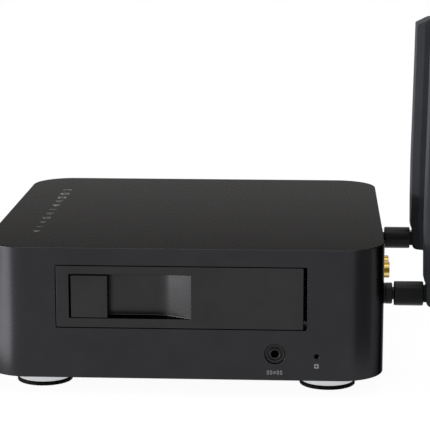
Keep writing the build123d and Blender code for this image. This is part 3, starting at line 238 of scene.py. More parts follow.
class Skin:
    """Surfaces of one piece, gathered until they are welded into a mesh. Faces look outwards."""

    def __init__(self) -> None:
        """Starts with nothing."""
        self.points: list[Array] = []
        self.faces: list[Array] = []
        self.count = 0

    def add(self, points: Array, faces: Array, flip: bool = False) -> "Skin":
        """Adds points and faces.

        Args:
            points: Points as (..., 3).
            faces: Rows of places among these points.
            flip: Whether the faces are turned round.

        Returns:
            The skin.
        """
        self.points.append(points.reshape(-1, 3))
        self.faces.append((faces[:, ::-1] if flip else faces) + self.count)
        self.count += len(self.points[-1])
        return self

    def grid(self, points: Array, closed: bool = False, flip: bool = False) -> "Skin":
        """Quads over a grid of points; a face looks along (way across the columns) x (way down the rows).

        Args:
            points: Grid as (rows, columns, 3).
            closed: Whether the last column joins the first.
            flip: Whether the faces look the other way.

        Returns:
            The skin.
        """
        rows, columns = points.shape[:2]
        row = np.arange(rows - 1)[:, None] * columns
        here = np.arange(columns if closed else columns - 1)[None]
        beside = (here + 1) % columns
        quads = np.stack((row + here, row + beside, row + columns + beside, row + columns + here), -1)
        return self.add(points, quads.reshape(-1, 4), flip)

    def sweep(self, facing: Facing, outline: Outline, line: Array, flip: bool = False) -> "Skin":
        """Carries a line of (inset, out) round an outline: point (i, j) is its point j moved in by inset i.

        The line runs from the outside over the top to the middle, so that the faces look out of the solid.
        """
        rings = outline.points(line[:, 0])
        return self.grid(facing.place(rings, line[:, 1:2]), closed=True, flip=flip)

    def turned(
        self, facing: Facing, a: float, b: float, corners: Line, steps: int = 14, arc: int = 4
    ) -> "Skin":
        """Turns a line of (radius, out) about an axis: point (i, j) is at radius i and angle j.

        Args:
            facing: Way that the axis looks.
            a: Its place.
            b: Its place.
            corners: The line, with the radii that round its corners.
            steps: Parts of a quarter turn.
            arc: Parts of each rounded corner.

        Returns:
            The skin.
        """
        line = rounded(corners, arc)
        reach = float(line[:, 0].max())
        inward = np.column_stack((reach - line[:, 0], line[:, 1]))
        return self.sweep(facing, Outline.circle(a, b, reach, steps), inward)

    def flat(self, facing: Facing, out: float, loops: list[Array], flip: bool = False) -> "Skin":
        """A flat cut to loops: a constrained triangulation, of which the triangles with an odd count stay.

        The count is of the loops' edges that a line from the triangle's middle crosses, so loops inside a
        loop are holes.

        Args:
            facing: Way that the flat looks.
            out: Its distance along the way out.
            loops: Closed lines of (a, b), the outer one and its holes.
            flip: Whether it looks the other way.

        Returns:
            The skin.
        """
        starts = np.cumsum([0] + [len(loop) for loop in loops])
        edges = [(s + i, s + (i + 1) % len(loop)) for s, loop in zip(starts, loops) for i in range(len(loop))]
        corners = np.concatenate(loops)
        found = delaunay_2d_cdt([Vector(p) for p in corners], edges, [], 0, 1e-7, False)
        flat = np.array([tuple(v) for v in found[0]])
        triangles = np.array([tuple(f) for f in found[2]])
        middle = flat[triangles].mean(axis=1)
        crossings = np.zeros(len(middle), int)
        for loop in loops:
            start, end = loop, np.roll(loop, -1, axis=0)
            above = (start[:, 1] > middle[:, 1:2]) != (end[:, 1] > middle[:, 1:2])
            rise = np.where(end[:, 1] == start[:, 1], 1.0, end[:, 1] - start[:, 1])
            at = start[:, 0] + (middle[:, 1:2] - start[:, 1]) / rise * (end[:, 0] - start[:, 0])
            crossings += (above & (middle[:, 0:1] < at)).sum(axis=1)
        return self.add(facing.place(flat, out), triangles[crossings % 2 == 1], flip)

    def slab(
        self, facing: Facing, outline: Outline, low: float, high: float, edge: float = 0.15,
        low_edge: float = 0.0, holes: tuple[Outline, ...] = (),
    ) -> "Skin":
        """Plate with rounded edges and straight holes, all rings of one outline joined by flats.

        Args:
            facing: Way that its face looks.
            outline: Its outline.
            low: Back of the plate along the way out.
            high: Face of the plate.
            edge: Radius of the face's edge.
            low_edge: Radius of the back's edge.
            holes: Outlines of its through holes.

        Returns:
            The skin.
        """
        side = [(low_edge, low), (0, low, low_edge), (0, high, edge), (edge, high)]
        self.sweep(facing, outline, rounded(side, 3))
        for hole in holes:
            self.sweep(facing, hole, rounded([(0, high), (0, low)]))
        cut = [hole.points() for hole in holes]
        self.flat(facing, high, [outline.points(edge)] + cut)
        return self.flat(facing, low, [outline.points(low_edge)] + cut, flip=True)

    def prism(self, facing: Facing, loop: Array, low: float, high: float) -> "Skin":
        """Straight solid on any closed loop that turns left."""
        walls = np.stack((facing.place(loop, low), facing.place(loop, high)))
        self.grid(walls, closed=True)
        return self.flat(facing, high, [loop]).flat(facing, low, [loop], flip=True)

    def block(self, low: Row, high: Row, edge: float = 0.15) -> "Skin":
        """Upright block between two corners, its edges rounded at head and foot."""
        (x0, y0, z0), (x1, y1, z1) = low, high
        outline = Outline((x0 + x1) / 2, (y0 + y1) / 2, x1 - x0, y1 - y0, edge, 2)
        return self.slab(TOP, outline, z0, z1, edge, edge)

    def mesh(self, name: str) -> bpy.types.Mesh:
        """Returns the surfaces as one mesh, in metres."""
        made = bpy.data.meshes.new(name)
        faces = [face for part in self.faces for face in part.tolist()]
        made.from_pydata((np.concatenate(self.points) * MM).tolist(), [], faces)
        return made

    def piece(
        self, name: str, finish: "Finish", slot: str, *replaces: str, body: str = "case", crease: float = 30.0
    ) -> None:
        """Welds the surfaces and makes the object, which rides on a body.

        Args:
            name: Name of the piece.
            finish: Its finish.
            slot: Not used.
            replaces: Nodes of the part that it stands for.
            body: Body that it rides on.
            crease: Angle in degrees past which an edge shades sharp.
        """
        mesh = self.mesh(name)
        work = bmesh.new()
        work.from_mesh(mesh)
        bmesh.ops.remove_doubles(work, verts=work.verts, dist=1e-6)
        bmesh.ops.dissolve_degenerate(work, edges=work.edges, dist=1e-7)
        work.to_mesh(mesh)
        work.free()
        mesh.shade_smooth()
        mesh.set_sharp_from_angle(angle=math.radians(crease))
        mesh.materials.append(finish.material())
        made = linked(name, mesh)
        made.modifiers.new("even_shading", "WEIGHTED_NORMAL").keep_sharp = True
        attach(made, body)
        if replaces:
            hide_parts(*replaces)
        log.info("%s: %d faces on body %s, %s", name, len(mesh.polygons), body, finish.name)


def linked(name: str, data: bpy.types.ID) -> bpy.types.Object:
    """Returns a new object of the scene that holds the data."""
    made = bpy.data.objects.new(name, data)
    bpy.context.scene.collection.objects.link(made)
    return made


def linear(colour: str) -> tuple[float, float, float, float]:
    """Turns an sRGB hex colour into linear light with the standard's two-part curve, and full alpha."""
    parts = np.array([int(colour[i:i + 2], 16) for i in (1, 3, 5)]) / 255
    light = np.where(parts <= 0.04045, parts / 12.92, ((parts + 0.055) / 1.055) ** 2.4)
    return (*(float(v) for v in light), 1.0)


class Grain(Enum):
    """Direction of a brushed or rolled grain: how much each axis is stretched along it."""

    NONE = (1.0, 1.0, 1.0)
    ALONG_X = (0.03, 1.0, 1.0)
    ALONG_Y = (1.0, 0.03, 1.0)
    ALONG_Z = (1.0, 1.0, 0.03)


# Values between which noise nearly always stays.
SWING = (0.3, 0.7)


class Graph:
    """Nodes of a material or a world, and the patterns that finishes are made of."""

    def __init__(self, tree: bpy.types.NodeTree) -> None:
        """Takes a tree and empties it."""
        self.tree = tree
        tree.nodes.clear()

    @classmethod
    def material(cls, name: str) -> tuple[bpy.types.Material, "Graph"]:
        """Returns a new material and its graph."""
        made = bpy.data.materials.new(name)
        made.use_nodes = True
        return made, cls(made.node_tree)

    def add(self, kind: str, inputs: Inputs = (), **settings: object) -> Node:
        """Adds a node with its settings and links.

        Args:
            kind: Its type, without the ShaderNode at the start.
            inputs: Sockets by name or place, or a tuple in their order. An output, or a node's first one, is
                linked; a hex colour is turned to linear light, and any other value is set.
            settings: The node's own properties.

        Returns:
            The node.
        """
        node = self.tree.nodes.new("ShaderNode" + kind)
        for key, value in settings.items():
            setattr(node, key, value)
        for key, value in inputs.items() if isinstance(inputs, dict) else enumerate(inputs):
            value = value.outputs[0] if isinstance(value, Node) else value
            if isinstance(value, Socket):
                self.tree.links.new(value, node.inputs[key])
            else:
                node.inputs[key].default_value = linear(value) if isinstance(value, str) else value
        return node

    def space(self, size: float, grain: Grain = Grain.NONE) -> Node:
        """Returns the object's own coordinates, so scaled that one unit is size millimetres."""
        scale = tuple(v / (size * MM) for v in grain.value)
        return self.add("Mapping", {"Vector": self.add("TexCoord").outputs["Object"], "Scale": scale})

    def noise(self, size: float, detail: float = 3.0, grain: Grain = Grain.NONE) -> Node:
        """Returns noise from 0 to 1, drawn out along a grain, with one wave to size millimetres."""
        return self.add("TexNoise", {"Vector": self.space(size, grain), "Scale": 1.0, "Detail": detail})


@dataclass(frozen=True)
class Finish:
    """A finish: a colour that wanders to a second one, a roughness range, and a grain of real size."""

    name: str
    base: str
    second: str
    rough: Pair
    metallic: float = 0.0
    ior: float = 1.5
    specular: float = 0.5
    clear: float = 0.0
    edge: str = "#ffffff"
    grain: Grain = Grain.NONE
    size: float = 0.8
    depth: float = 0.01
    mottle: float = 14.0

    def share(self, graph: Graph) -> Node:
        """Returns how far the colour has gone from the first to the second: slow mottling."""
        return graph.add("MapRange", (graph.noise(self.mottle), *SWING))

    def colour(self, graph: Graph) -> Socket:
        """Returns the colour, mixed of the two by their share."""
        two = {0: self.share(graph), 6: self.base, 7: self.second}
        return graph.add("Mix", two, data_type="RGBA").outputs[2]

    def height(self, graph: Graph) -> Node:
        """Returns the relief from 0 to 1: fine noise, drawn out along the grain."""
        return graph.noise(self.size, 2.0, self.grain)

    def material(self) -> bpy.types.Material:
        """Returns the finish's material, made once.

        The principled shader takes the colour and roughness from patterns, and its normal from the relief;
        what is the same everywhere is set on the shader itself.
        """
        known = bpy.data.materials.get(self.name)
        if known:
            return known
        made, graph = Graph.material(self.name)
        relief = self.height(graph)
        shader = graph.add("BsdfPrincipled", {
            "Base Color": self.colour(graph),
            "Roughness": graph.add("MapRange", (relief, *SWING, *self.rough)),
            "Normal": graph.add("Bump", {"Height": relief, "Distance": self.depth * MM, "Strength": 1.0}),
            "Metallic": self.metallic,
            "IOR": self.ior,
            "Specular IOR Level": self.specular,
            "Specular Tint": self.edge,
            "Transmission Weight": self.clear,
        })
        graph.add("OutputMaterial", {"Surface": shader})
        made.diffuse_color = linear(self.base)
        return made


@dataclass(frozen=True)
class Turned(Finish):
    """Metal faced on a lathe: rings about upright axes that stand at equal distances from the middle."""

    spacing: float = 65.0
    pitch: float = 0.5

    def height(self, graph: Graph) -> Node:
        """Returns rings: the distance to the nearest axis, folded at every pitch, mixed with fine noise."""
        axes = graph.add("SeparateXYZ", (graph.add("TexCoord").outputs["Object"],)).outputs
        away = [graph.add("Math", (axis,), operation="ABSOLUTE") for axis in axes[:2]]
        x, y = (graph.add("Math", (axis, self.spacing * MM), operation="SUBTRACT") for axis in away)
        flat = graph.add("CombineXYZ", (x, y))
        radius = graph.add("VectorMath", (flat,), operation="LENGTH").outputs["Value"]
        half = self.pitch * MM / 2
        fold = graph.add("Math", (radius, half), operation="PINGPONG")
        wave = graph.add("Math", (fold, 1 / half), operation="MULTIPLY")
        return graph.add("Math", (wave, graph.noise(self.size)), operation="MULTIPLY")


@dataclass(frozen=True)
class Laminate(Finish):
    """Circuit board: bundles of traces under solder mask, which turn from patch to patch."""

    trace: str = "#1f5a36"
    pitch: float = 0.9
    width: float = 0.2
    patch: float = 7.0
    bare: Pair = (0.35, 0.4)

    def colour(self, graph: Graph) -> Socket:
        """Returns the mask's colour, lighter over a trace: where x or y, folded, is under the width."""
        place = graph.add("TexCoord").outputs["Object"]
        cell = graph.add("VectorMath", (place, (self.patch * MM,) * 3), operation="SNAP")
        pick = graph.add("TexWhiteNoise", {"Vector": cell}).outputs
        axes = graph.add("SeparateXYZ", (place,)).outputs
        x, y = (graph.add("Math", (axis, self.pitch * MM / 2), operation="PINGPONG") for axis in axes[:2])
        way = graph.add("Math", (pick["Value"], 0.5), operation="GREATER_THAN")
        chosen = graph.add("Mix", {0: way, 2: x, 3: y}, data_type="FLOAT")
        line = graph.add("Math", (chosen, self.pitch * MM * self.width), operation="LESS_THAN")
        some = graph.add("MapRange", (pick["Color"], *self.bare))
        used = graph.add("Math", (line, some), operation="MULTIPLY")
        two = {0: used, 6: super().colour(graph), 7: self.trace}
        return graph.add("Mix", two, data_type="RGBA").outputs[2]


@dataclass(frozen=True)
class ReflectionStreaked(Finish):
    """Plated metal with painted reflections: streaks along the grain, from pale to deep, for the bands a tube
    reflects.
    """

    def share(self, graph: Graph) -> Node:
        """Returns noise stretched along the grain, taken hard between the two colours: the painted reflection
        streaks.
        """
        # painted reflections: pale and deep streaks in the colour stand in for the bands that a polished tube
        # reflects
        return graph.add("MapRange", (graph.noise(self.mottle, 1.0, self.grain), 0.4, 0.6))


@dataclass(frozen=True)
class InkShadeRamp(Finish):
    """Ink with painted shade that darkens it from the far end of a row to the near one, and some noise in its
    tone.
    """

    ends: Pair = (-55.0, 55.0)

    def share(self, graph: Graph) -> Node:
        """Returns a ramp along X from 0 to 0.8, which is painted shade, with up to 0.2 of noise on it."""
        axes = graph.add("SeparateXYZ", (graph.add("TexCoord").outputs["Object"],))
        low, high = (end * MM for end in self.ends)
        # painted shade: the ink's colour darkens along X towards the door side
        along = graph.add("MapRange", (axes, low, high, 0.0, 0.8))
        worn = graph.add("MapRange", (graph.noise(self.size), *SWING, 0.0, 0.2))
        return graph.add("Math", (along, worn), operation="ADD")


@dataclass(frozen=True)
class Speckled(Finish):
    """Moulded or coated surface with a spark-eroded texture: small pits between cells."""

    fine: float = 0.4

    def height(self, graph: Graph) -> Node:
        """Returns the distance to the nearest cell's middle, mixed with noise of a fine share of its size."""
        cells = graph.add("TexVoronoi", {"Vector": graph.space(self.size), "Scale": 1.0})
        return graph.add("Math", (cells, graph.noise(self.size * self.fine)), operation="MULTIPLY")


# Die-cast aluminium under satin black lacquer: an even, near-neutral black that reflects softly and stays
# dark at a low angle. The lacquer's orange peel is 1.2 mm across, coarser than real, so that it shows.
CASE_COAT = Speckled("satin_black_lacquered_aluminium", "#333335", "#303032", (0.27, 0.33), metallic=1.0,
                     edge="#999897", size=1.2, depth=0.0012)
# The same lacquer on the moulded door and its flap; its colour is a shade browner, a painted tint for how the
# light falls off there.
DOOR_COAT = Speckled("satin_black_lacquered_abs", "#353536", "#313132", (0.27, 0.33), metallic=1.0,
                     edge="#999897", size=1.0, depth=0.0012)
# Moulded black ABS of the frame, the housings and the sockets: plain, fine spark grain.
FRAME_ABS = Speckled("spark_textured_black_abs", "#1b1b1c", "#161617", (0.42, 0.55), size=0.7, depth=0.01)
# Matt black acetal of the reset plunger, which leaves the pinhole dark.
PLUNGER = Speckled("matt_black_acetal", "#070707", "#050505", (0.6, 0.7), specular=0.1, size=0.4, depth=0.006)
# Satin black nylon ring round the jack.
NYLON = Speckled("satin_black_nylon", "#111112", "#0e0e0f", (0.4, 0.5), specular=0.3, size=0.5, depth=0.006)
# Aluminium faced on the lathe and polished: bright, with fine rings that draw its reflections out.
FOOT_METAL = Turned("polished_turned_aluminium", "#cfd0d2", "#c2c3c6", (0.12, 0.24), metallic=1.0,
                    size=2.0, depth=0.003)
# Black neoprene of the foot pads: dull, with a dusty bloom.
PAD_RUBBER = Speckled("black_neoprene", "#0b0b0b", "#101010", (0.6, 0.75), specular=0.05, size=0.6,
                      depth=0.02, mottle=5.0)
# Smoked acrylic of the front window: nearly black from outside, with reflections that are a little soft.
SMOKED = Finish("smoked_acrylic", "#3a3230", "#362f2d", (0.09, 0.13), ior=1.49, depth=0.0005, size=3.0,
                clear=1.0)
# Glass and phosphor of the segment display, unlit.
DISPLAY = Finish("dark_display_glass", "#191c1d", "#141717", (0.12, 0.2), size=2.0, depth=0.001)
SEGMENTS = Finish("unlit_phosphor", "#8fa39c", "#7d918a", (0.6, 0.75), size=0.3, depth=0.004, mottle=2.0)
# Zinc-plated steel sheet of the base, rails and bay: pale grey with a rolled grain and cloudy passivation.
ZINC_SHEET = Finish("zinc_plated_steel_sheet", "#b9bcbe", "#a4a8ab", (0.3, 0.46), metallic=1.0,
                    grain=Grain.ALONG_X, size=0.5, depth=0.003, mottle=9.0)
# Black powder coat of the back panel and base plate: fine orange peel, half matt.
POWDER_COAT = Speckled("black_powder_coated_steel", "#1f1f20", "#1a1a1b", (0.45, 0.6), size=0.9, depth=0.02)
# Blackened steel of the screws.
BLACK_STEEL = Finish("blackened_steel_screw", "#3b3b3d", "#303032", (0.28, 0.42), metallic=1.0, size=0.4,
                     depth=0.004, mottle=3.0)
# Black-oxide steel of the door's and flap's pins: nearly as dark as the gap that they stand in.
DARK_PIN = Finish("black_oxide_steel_pin", "#151516", "#101011", (0.35, 0.45), metallic=1.0, edge="#303030",
                  size=0.4, depth=0.003)
# Bright nickel-plated steel of nuts, posts and the aerials' pins.
NICKEL = Finish("nickel_plated_steel", "#c4c2bc", "#b3b1aa", (0.18, 0.3), metallic=1.0, size=0.5, depth=0.002)
# Hardened and tempered spring steel: grey-blue and slightly straw.
SPRING = Finish("tempered_spring_steel", "#8b8f94", "#7e7a72", (0.25, 0.38), metallic=1.0,
                grain=Grain.ALONG_Z, size=0.3, depth=0.002, mottle=4.0)
# Tinned steel shells of the video and USB sockets: bright, faintly scratched.
SHELL = Finish("tinned_steel_shell", "#b4b6b8", "#a2a4a6", (0.22, 0.36), metallic=1.0, grain=Grain.ALONG_Y,
               size=0.3, depth=0.002, mottle=5.0)
# Gold flash over drawn brass on the sound jacks and the contacts: deep yellow, with pale and brown streaks
# that are painted reflections.
GOLD = ReflectionStreaked("gold_flashed_brass_painted_reflections", "#e3cd83", "#7d5c17", (0.12, 0.2), metallic=1.0, grain=Grain.ALONG_Y,
             size=0.4, depth=0.001, mottle=2.4)
# Turned brass of the aerial sockets, behind the panel.
BRASS = Finish("turned_brass", "#b99a5b", "#a98a4c", (0.22, 0.35), metallic=1.0, grain=Grain.ALONG_X,
               size=0.3, depth=0.003)
# Insulating cores of the two sound jacks: white and red polyester, slightly glossy.
CORES = {
    "white": Finish("white_pbt", "#e6e3da", "#dcd8cd", (0.35, 0.45), size=0.5, depth=0.003),
    "red": Finish("red_pbt", "#a32a24", "#96241f", (0.35, 0.45), size=0.5, depth=0.003),
}
# Green solder mask on glass-epoxy laminate, with traces under it.
BOARD = Laminate("green_glass_epoxy_laminate", "#12402a", "#0f3823", (0.25, 0.38), size=0.5, depth=0.006)
# Epoxy moulding compound of the chips: dark grey, laser-dulled top.
RESIN = Speckled("epoxy_moulding_compound", "#202122", "#1a1b1c", (0.5, 0.65), size=0.3, depth=0.006)
# Natural anodised extruded aluminium of the cooler: drawn lines along the fins.
SINK = Finish("extruded_anodised_aluminium", "#9da1a5", "#8d9195", (0.3, 0.42), metallic=1.0,
              grain=Grain.ALONG_Y, size=0.4, depth=0.006)
# Shrink sleeve of the capacitors.
SLEEVE = Finish("pvc_shrink_sleeve", "#1d2233", "#191d2c", (0.25, 0.35), size=0.8, depth=0.004)
# Soft matt lacquer on the aerials' blades: a faintly blue black with next to no sheen, even at a flat angle.
AERIAL_COAT = Speckled("matt_black_lacquered_abs", "#303134", "#2c2d30", (0.62, 0.72), specular=0.05,
                       size=0.9, depth=0.003)
# Hard black nylon of the aerials' barrels and rings: darker than the blades, with a narrow sheen on top.
BARREL_NYLON = Speckled("hard_black_nylon", "#0c0d0e", "#090a0b", (0.26, 0.32), ior=1.3, specular=0.3,
                        size=0.7, depth=0.003)
# Soft vinyl of the internal leads.
VINYL = Finish("grey_vinyl_sheath", "#2b2b2d", "#252527", (0.4, 0.55), size=0.5, depth=0.006)
# Pad-printed pale grey ink of the marks: flat, a little worn.
INK = Finish("pale_grey_pad_print", "#8a8a88", "#787876", (0.55, 0.7), size=0.4, depth=0.002, mottle=1.2)
FAINT_INK = Finish("faint_grey_pad_print", "#757574", "#6a6a69", (0.55, 0.7), size=0.4, depth=0.002,
                   mottle=1.2)
# The same ink on the roof, with painted shade that darkens it towards the door side.
SHADED_ROW_INK = InkShadeRamp("grey_pad_print_painted_shade", "#8c8c8a", "#565655", (0.55, 0.7), size=0.4, depth=0.002)


def dress(finish: Finish, slot: str, *nodes: str) -> None:
    """Gives solids of the part their finish.

    Args:
        finish: The finish.
        slot: Not used.
        nodes: Names of the solids.
    """
    for node in nodes:
        held = frame["nodes"][node]
        held.data.materials.clear()
        held.data.materials.append(finish.material())
        log.info("%s: %s", node, finish.name)


@dataclass
class CaseCover:
    """One-piece cover: roof, four walls with their openings, and the posts inside."""

    corner: float = 20.0
    low: float = UNDERSIDE
    roof: float = 64.6
    edge: float = 0.5
    foot_edge: float = 0.3
    plate_top: float = 9.2
    mouth: Outline = Outline(*MOUTH, 111.8, 28.6, 0.8)
    jack: Outline = Outline.circle(*JACK, 4.6)
    pinhole: Outline = Outline.circle(PINHOLE_Y, 18.94, 1.1)
    window: Outline = Outline(*WINDOW, 102.0, 34.0, 2.0)
    button: Outline = Outline.circle(*BUTTON, 6.25)
    back: Outline = Outline(0.0, 37.2, 136.0, 51.0, 3.0)
    rim: float = 0.22
    post: Pair = (65.5, 12.5)
    run_in: float = 0.2

    def walls(self, skin: Skin) -> None:
        """Wall flats with their holes, quarter-round corners, and the edges at head and foot.

        A corner is the plan's arc at two heights; a flat is cut at both faces of the wall, and each hole's
        rim is carried through from one to the other.

        Args:
            skin: Skin that they join.
        """
        wall, straight = FACE - INSIDE, FACE - self.corner
        top, foot = ROOF - self.edge, self.low + self.foot_edge
        holes = {
            DOOR: (self.mouth, self.jack, self.pinhole),
            FRONT: (self.window, self.button),
            BACK: (self.back,),
            PLAIN: (),
        }
        for facing, cut in holes.items():
            for out, low, high, rim in ((FACE, foot, top, self.rim), (INSIDE, self.low, self.roof, 0.0)):
                flat = np.array([(-straight, low), (straight, low), (straight, high), (-straight, high)])
                skin.flat(facing, out, [flat] + [h.points(-rim) for h in cut], flip=out < FACE)
            for hole in cut:
                skin.sweep(facing, hole, rounded([(-self.rim, FACE), (0, FACE, self.rim), (0, INSIDE)]))
        plan = Outline(0, 0, 2 * FACE, 2 * FACE, self.corner, 24)
        for inset, low, high in ((0.0, foot, top), (wall, self.low, self.roof)):
            for arc in plan.points(inset).reshape(4, -1, 2):
                heights = np.array([low, high])[:, None]
                skin.grid(TOP.place(np.stack((arc, arc)), heights), flip=inset > 0)
        lip = rounded([(wall, self.low), (0, self.low, self.foot_edge), (0, foot)])
        brow = rounded([(0, top), (0, ROOF, self.edge), (self.edge, ROOF)], 6)
        skin.sweep(TOP, plan, lip).sweep(TOP, plan, brow)
        skin.flat(TOP, ROOF, [plan.points(self.edge)])
        skin.flat(TOP, self.roof, [plan.points(wall)], flip=True)

    def posts(self, skin: Skin) -> None:
        """Screw bosses, posts for the front board, studs for the frame and tabs for the back panel.

        Each post is a closed line of (radius, out) turned about its axis; the first two have a blind bore.

        Args:
            skin: Skin that they join.
        """
        end, root = -self.plate_top, -self.roof - self.run_in
        boss = [(0, root), (3.5, root), (3.5, end), (1.25, end), (1.25, end - 6), (0, end - 6)]
        post = [(0, -88.2), (2.5, -88.2), (2.5, -80.2), (1.25, -80.2), (1.25, -86.2), (0, -86.2)]
        stud = [(0, -88.2), (1.5, -88.2), (1.5, -82.6, 0.3), (0, -82.6)]
        for (x, y), (a, b) in zip(four(*BOSS), four(*self.post)):
            skin.turned(UNDER, x, -y, boss, 8)
            skin.turned(BACK, a, WINDOW[1] + b, post, 8)
        for y in STUDS_Y:
            skin.turned(PLAIN, -y, MOUTH[1], stud, 8)
        for x in (-TAB_X, TAB_X):
            skin.block((x - 3.2, 84.5, 54.3), (x + 3.2, 86.5, self.roof + self.run_in))

    def build(self) -> None:
        """Makes the cover."""
        skin = Skin()
        self.walls(skin)
        self.posts(skin)
        skin.piece("case_cover", CASE_COAT, "case_coat", "case_shell")


class Mark(Enum):
    """Plain printed shapes that stand for the marks on the roof."""

    ARC, RING, SQUARE, BARS, BAR, WEDGE = range(6)


@dataclass
class Prints:
    """Plain printed marks: a row on the roof, and a sign and a small square beside the side's openings."""

    lift: float = 0.03
    sunk: float = 0.05
    row_y: float = -69.5
    row_x: Pair = (-52.5, 54.5)
    row_size: Pair = (4.8, 3.4)
    row: tuple[Mark, ...] = (
        Mark.ARC, Mark.RING, Mark.SQUARE, Mark.BARS, Mark.WEDGE, Mark.BAR, Mark.BARS, Mark.RING, Mark.BARS,
        Mark.BAR, Mark.WEDGE,
    )
    sign: Line = ((1.0, 1.9), (0.9, 1.9), (1.0, 1.3), (0.9, 1.9), (1.0, 1.9))
    sign_y: float = 41.4
    sign_z: float = 11.35
    sign_step: float = 1.45
    square: float = 2.0
    square_z: float = 14.5

    def shape(self, kind: Mark, x: float, y: float, size: float) -> list[list[Array]]:
        """Outlines of one mark about a place on the roof, each with its holes.

        The arc lies between two circles, and the wedge is a triangle with a smaller one cut out. The rest
        are rounded rectangles.

        Args:
            kind: The mark.
            x: Its middle.
            y: Its middle.
            size: Its size across the row.

        Returns:
            Groups of closed lines.
        """
        middle, line = np.array([x, y]), 0.16 * size
        if kind is Mark.ARC:
            turn = np.linspace(-1.1, 1.1, 15)
            outer = np.stack((np.cos(turn), np.sin(turn)), -1) * size * 0.56
            inner = (outer - (0.42 * size, 0)) * 0.72 + (0.31 * size, 0)
            return [[np.concatenate((outer, inner[::-1])) * (-1, 1) * (1, -1) + middle + (0.3 * size, 0)]]
        if kind is Mark.WEDGE:
            triangle = np.array([(0.6, 0.0), (-0.4, 0.5), (-0.4, -0.5)]) * size
            return [[triangle + middle, triangle * 0.42 + middle]]
        if kind is Mark.RING:
            return [[Outline.circle(x, y, radius, 6).points() for radius in (size / 2, size / 2 - line)]]
        if kind is Mark.SQUARE:
            box = Outline(x, y, 0.9 * size, 0.9 * size, 0.2 * size, 3)
            return [[box.points(), box.points(line)]]
        places = (-0.3, 0.3) if kind is Mark.BARS else (0.0,)
        bars = ((x + p * size, y, line, (0.9 - 0.3 * (p > 0)) * size, 0.05 * size, 2) for p in places)
        return [[Outline(*bar).points()] for bar in bars]

    def row_marks(self) -> None:
        """The row on the roof: marks at even steps, a little smaller towards the door side."""
        skin = Skin()
        under, over = ROOF - self.sunk, ROOF + self.lift
        places, sizes = (np.linspace(*ends, len(self.row)) for ends in (self.row_x, self.row_size))
        for kind, x, size in zip(self.row, places, sizes):
            for loops in self.shape(kind, float(x), self.row_y, float(size)):
                skin.flat(TOP, over, loops).flat(TOP, under, loops, flip=True)
                for loop in loops:
                    wall = np.stack([TOP.place(loop, out) for out in (under, over)])
                    skin.grid(wall, closed=True, flip=loop is not loops[0])
        skin.piece("roof_marks", SHADED_ROW_INK, "case_coat")

    def outlined(self, skin: Skin, bar: Outline, less: Pair) -> None:
        """Adds a printed outline to the door side.

        Args:
            skin: Skin that it joins.
            bar: Its outside.
            less: How much less wide and high its hole is.
        """
        hole = Outline(bar.a, bar.b, bar.width - less[0], bar.height - less[1], 0.1, bar.steps)
        skin.slab(DOOR, bar, FACE - self.sunk, FACE + self.lift, 0.0, holes=(hole,))

    def build(self) -> None:
        """Makes the marks on the roof, the sign under the jack and the square under the pinhole."""
        self.row_marks()
        skin = Skin()
        for i, (width, height) in enumerate(self.sign):
            y = self.sign_y + (i - 2) * self.sign_step
            self.outlined(skin, Outline(y, self.sign_z, width, height, 0.3, 2), (0.6, 0.7))
        skin.piece("jack_marks", FAINT_INK, "case_coat")
        skin = Skin()
        self.outlined(skin, Outline(PINHOLE_Y, self.square_z, self.square, self.square, 0.3, 3), (1.1, 1.1))
        skin.piece("pinhole_mark", INK, "case_coat")


@dataclass
class Screws:
    """Cross-recess screws of the whole player: cambered heads on plain shanks.

    Each kind is the head's radius and height, the shank's radius, and the shank's length under the head.
    The other sizes are shares of the head's radius or height.
    """

    cover: Row = (2.6, 1.6, 1.25, 7.5)
    panel: Row = (2.6, 1.6, 1.25, 3.5)
    foot: Row = (3.2, 2.0, 1.5, 5.15)
    panel_places: Line = ((-53.25, 15.9), (44.15, 15.9), (-TAB_X, 58.5), (TAB_X, 58.5))
    camber: float = 0.18
    cross: float = 0.17
    cross_reach: float = 0.66
    cross_depth: float = 0.62
    cross_slope: Pair = (0.07, 0.12)
    rings: int = 14
    turns: int = 56

    def screw(self, skin: Skin, facing: Facing, place: Place, kind: Row) -> None:
        """One screw: a head whose face falls from its camber into a cross.

        The face's height at (u, v) is height * (1 - camber r^2) less the cross's depth, where r is the radius
        over the head's. The cross falls off where the smaller of |u| and |v| nears its half width, and where
        the larger nears its reach.

        Args:
            skin: Skin that it joins.
            facing: Way that the head looks.
            place: Middle of the head's seat.
            kind: Sizes of its kind.
        """
        head, height, shank, reach = kind
        a, b, out = facing.drawn(*place)
        radius = np.linspace(1, 0, self.rings)[:, None, None]
        angle = np.linspace(0, 2 * np.pi, self.turns, endpoint=False)
        unit = np.stack((np.cos(angle), np.sin(angle)), -1)
        flat = radius * unit
        narrow, along = abs(flat).min(axis=-1), abs(flat).max(axis=-1)
        side, end = self.cross_slope
        slot = np.clip((self.cross - narrow) / side, 0, 1) * np.clip((self.cross_reach - along) / end, 0, 1)
        top = out + height * (1 - self.camber * radius[..., 0]**2) - self.cross_depth * height * slot
        skin.grid(facing.place(flat * head + (a, b), top), closed=True)
        rim = [(0, out - reach), (shank, out - reach), (shank, out), (head, out), (head, top[0, 0])]
        rim = np.array(rim)[:, None]
        skin.grid(facing.place(rim[..., :1] * unit + (a, b), rim[..., 1]), closed=True)

    def build(self) -> None:
        """Makes every screw, one piece to a node."""
        skin = Skin()
        for x, y in four(*BOSS):
            self.screw(skin, UNDER, (x, y, UNDERSIDE), self.cover)
        for x, z in self.panel_places:
            self.screw(skin, BACK, (x, INSIDE, z), self.panel)
        skin.piece("cover_screws", BLACK_STEEL, "screw_steel", "case_screws")
        skin = Skin()
        for x, y in four(*FOOT):
            self.screw(skin, UNDER, (x, y, FOOT_SEAT), self.foot)
        skin.piece("feet_screws", NICKEL, "screw_steel", "foot_screws")


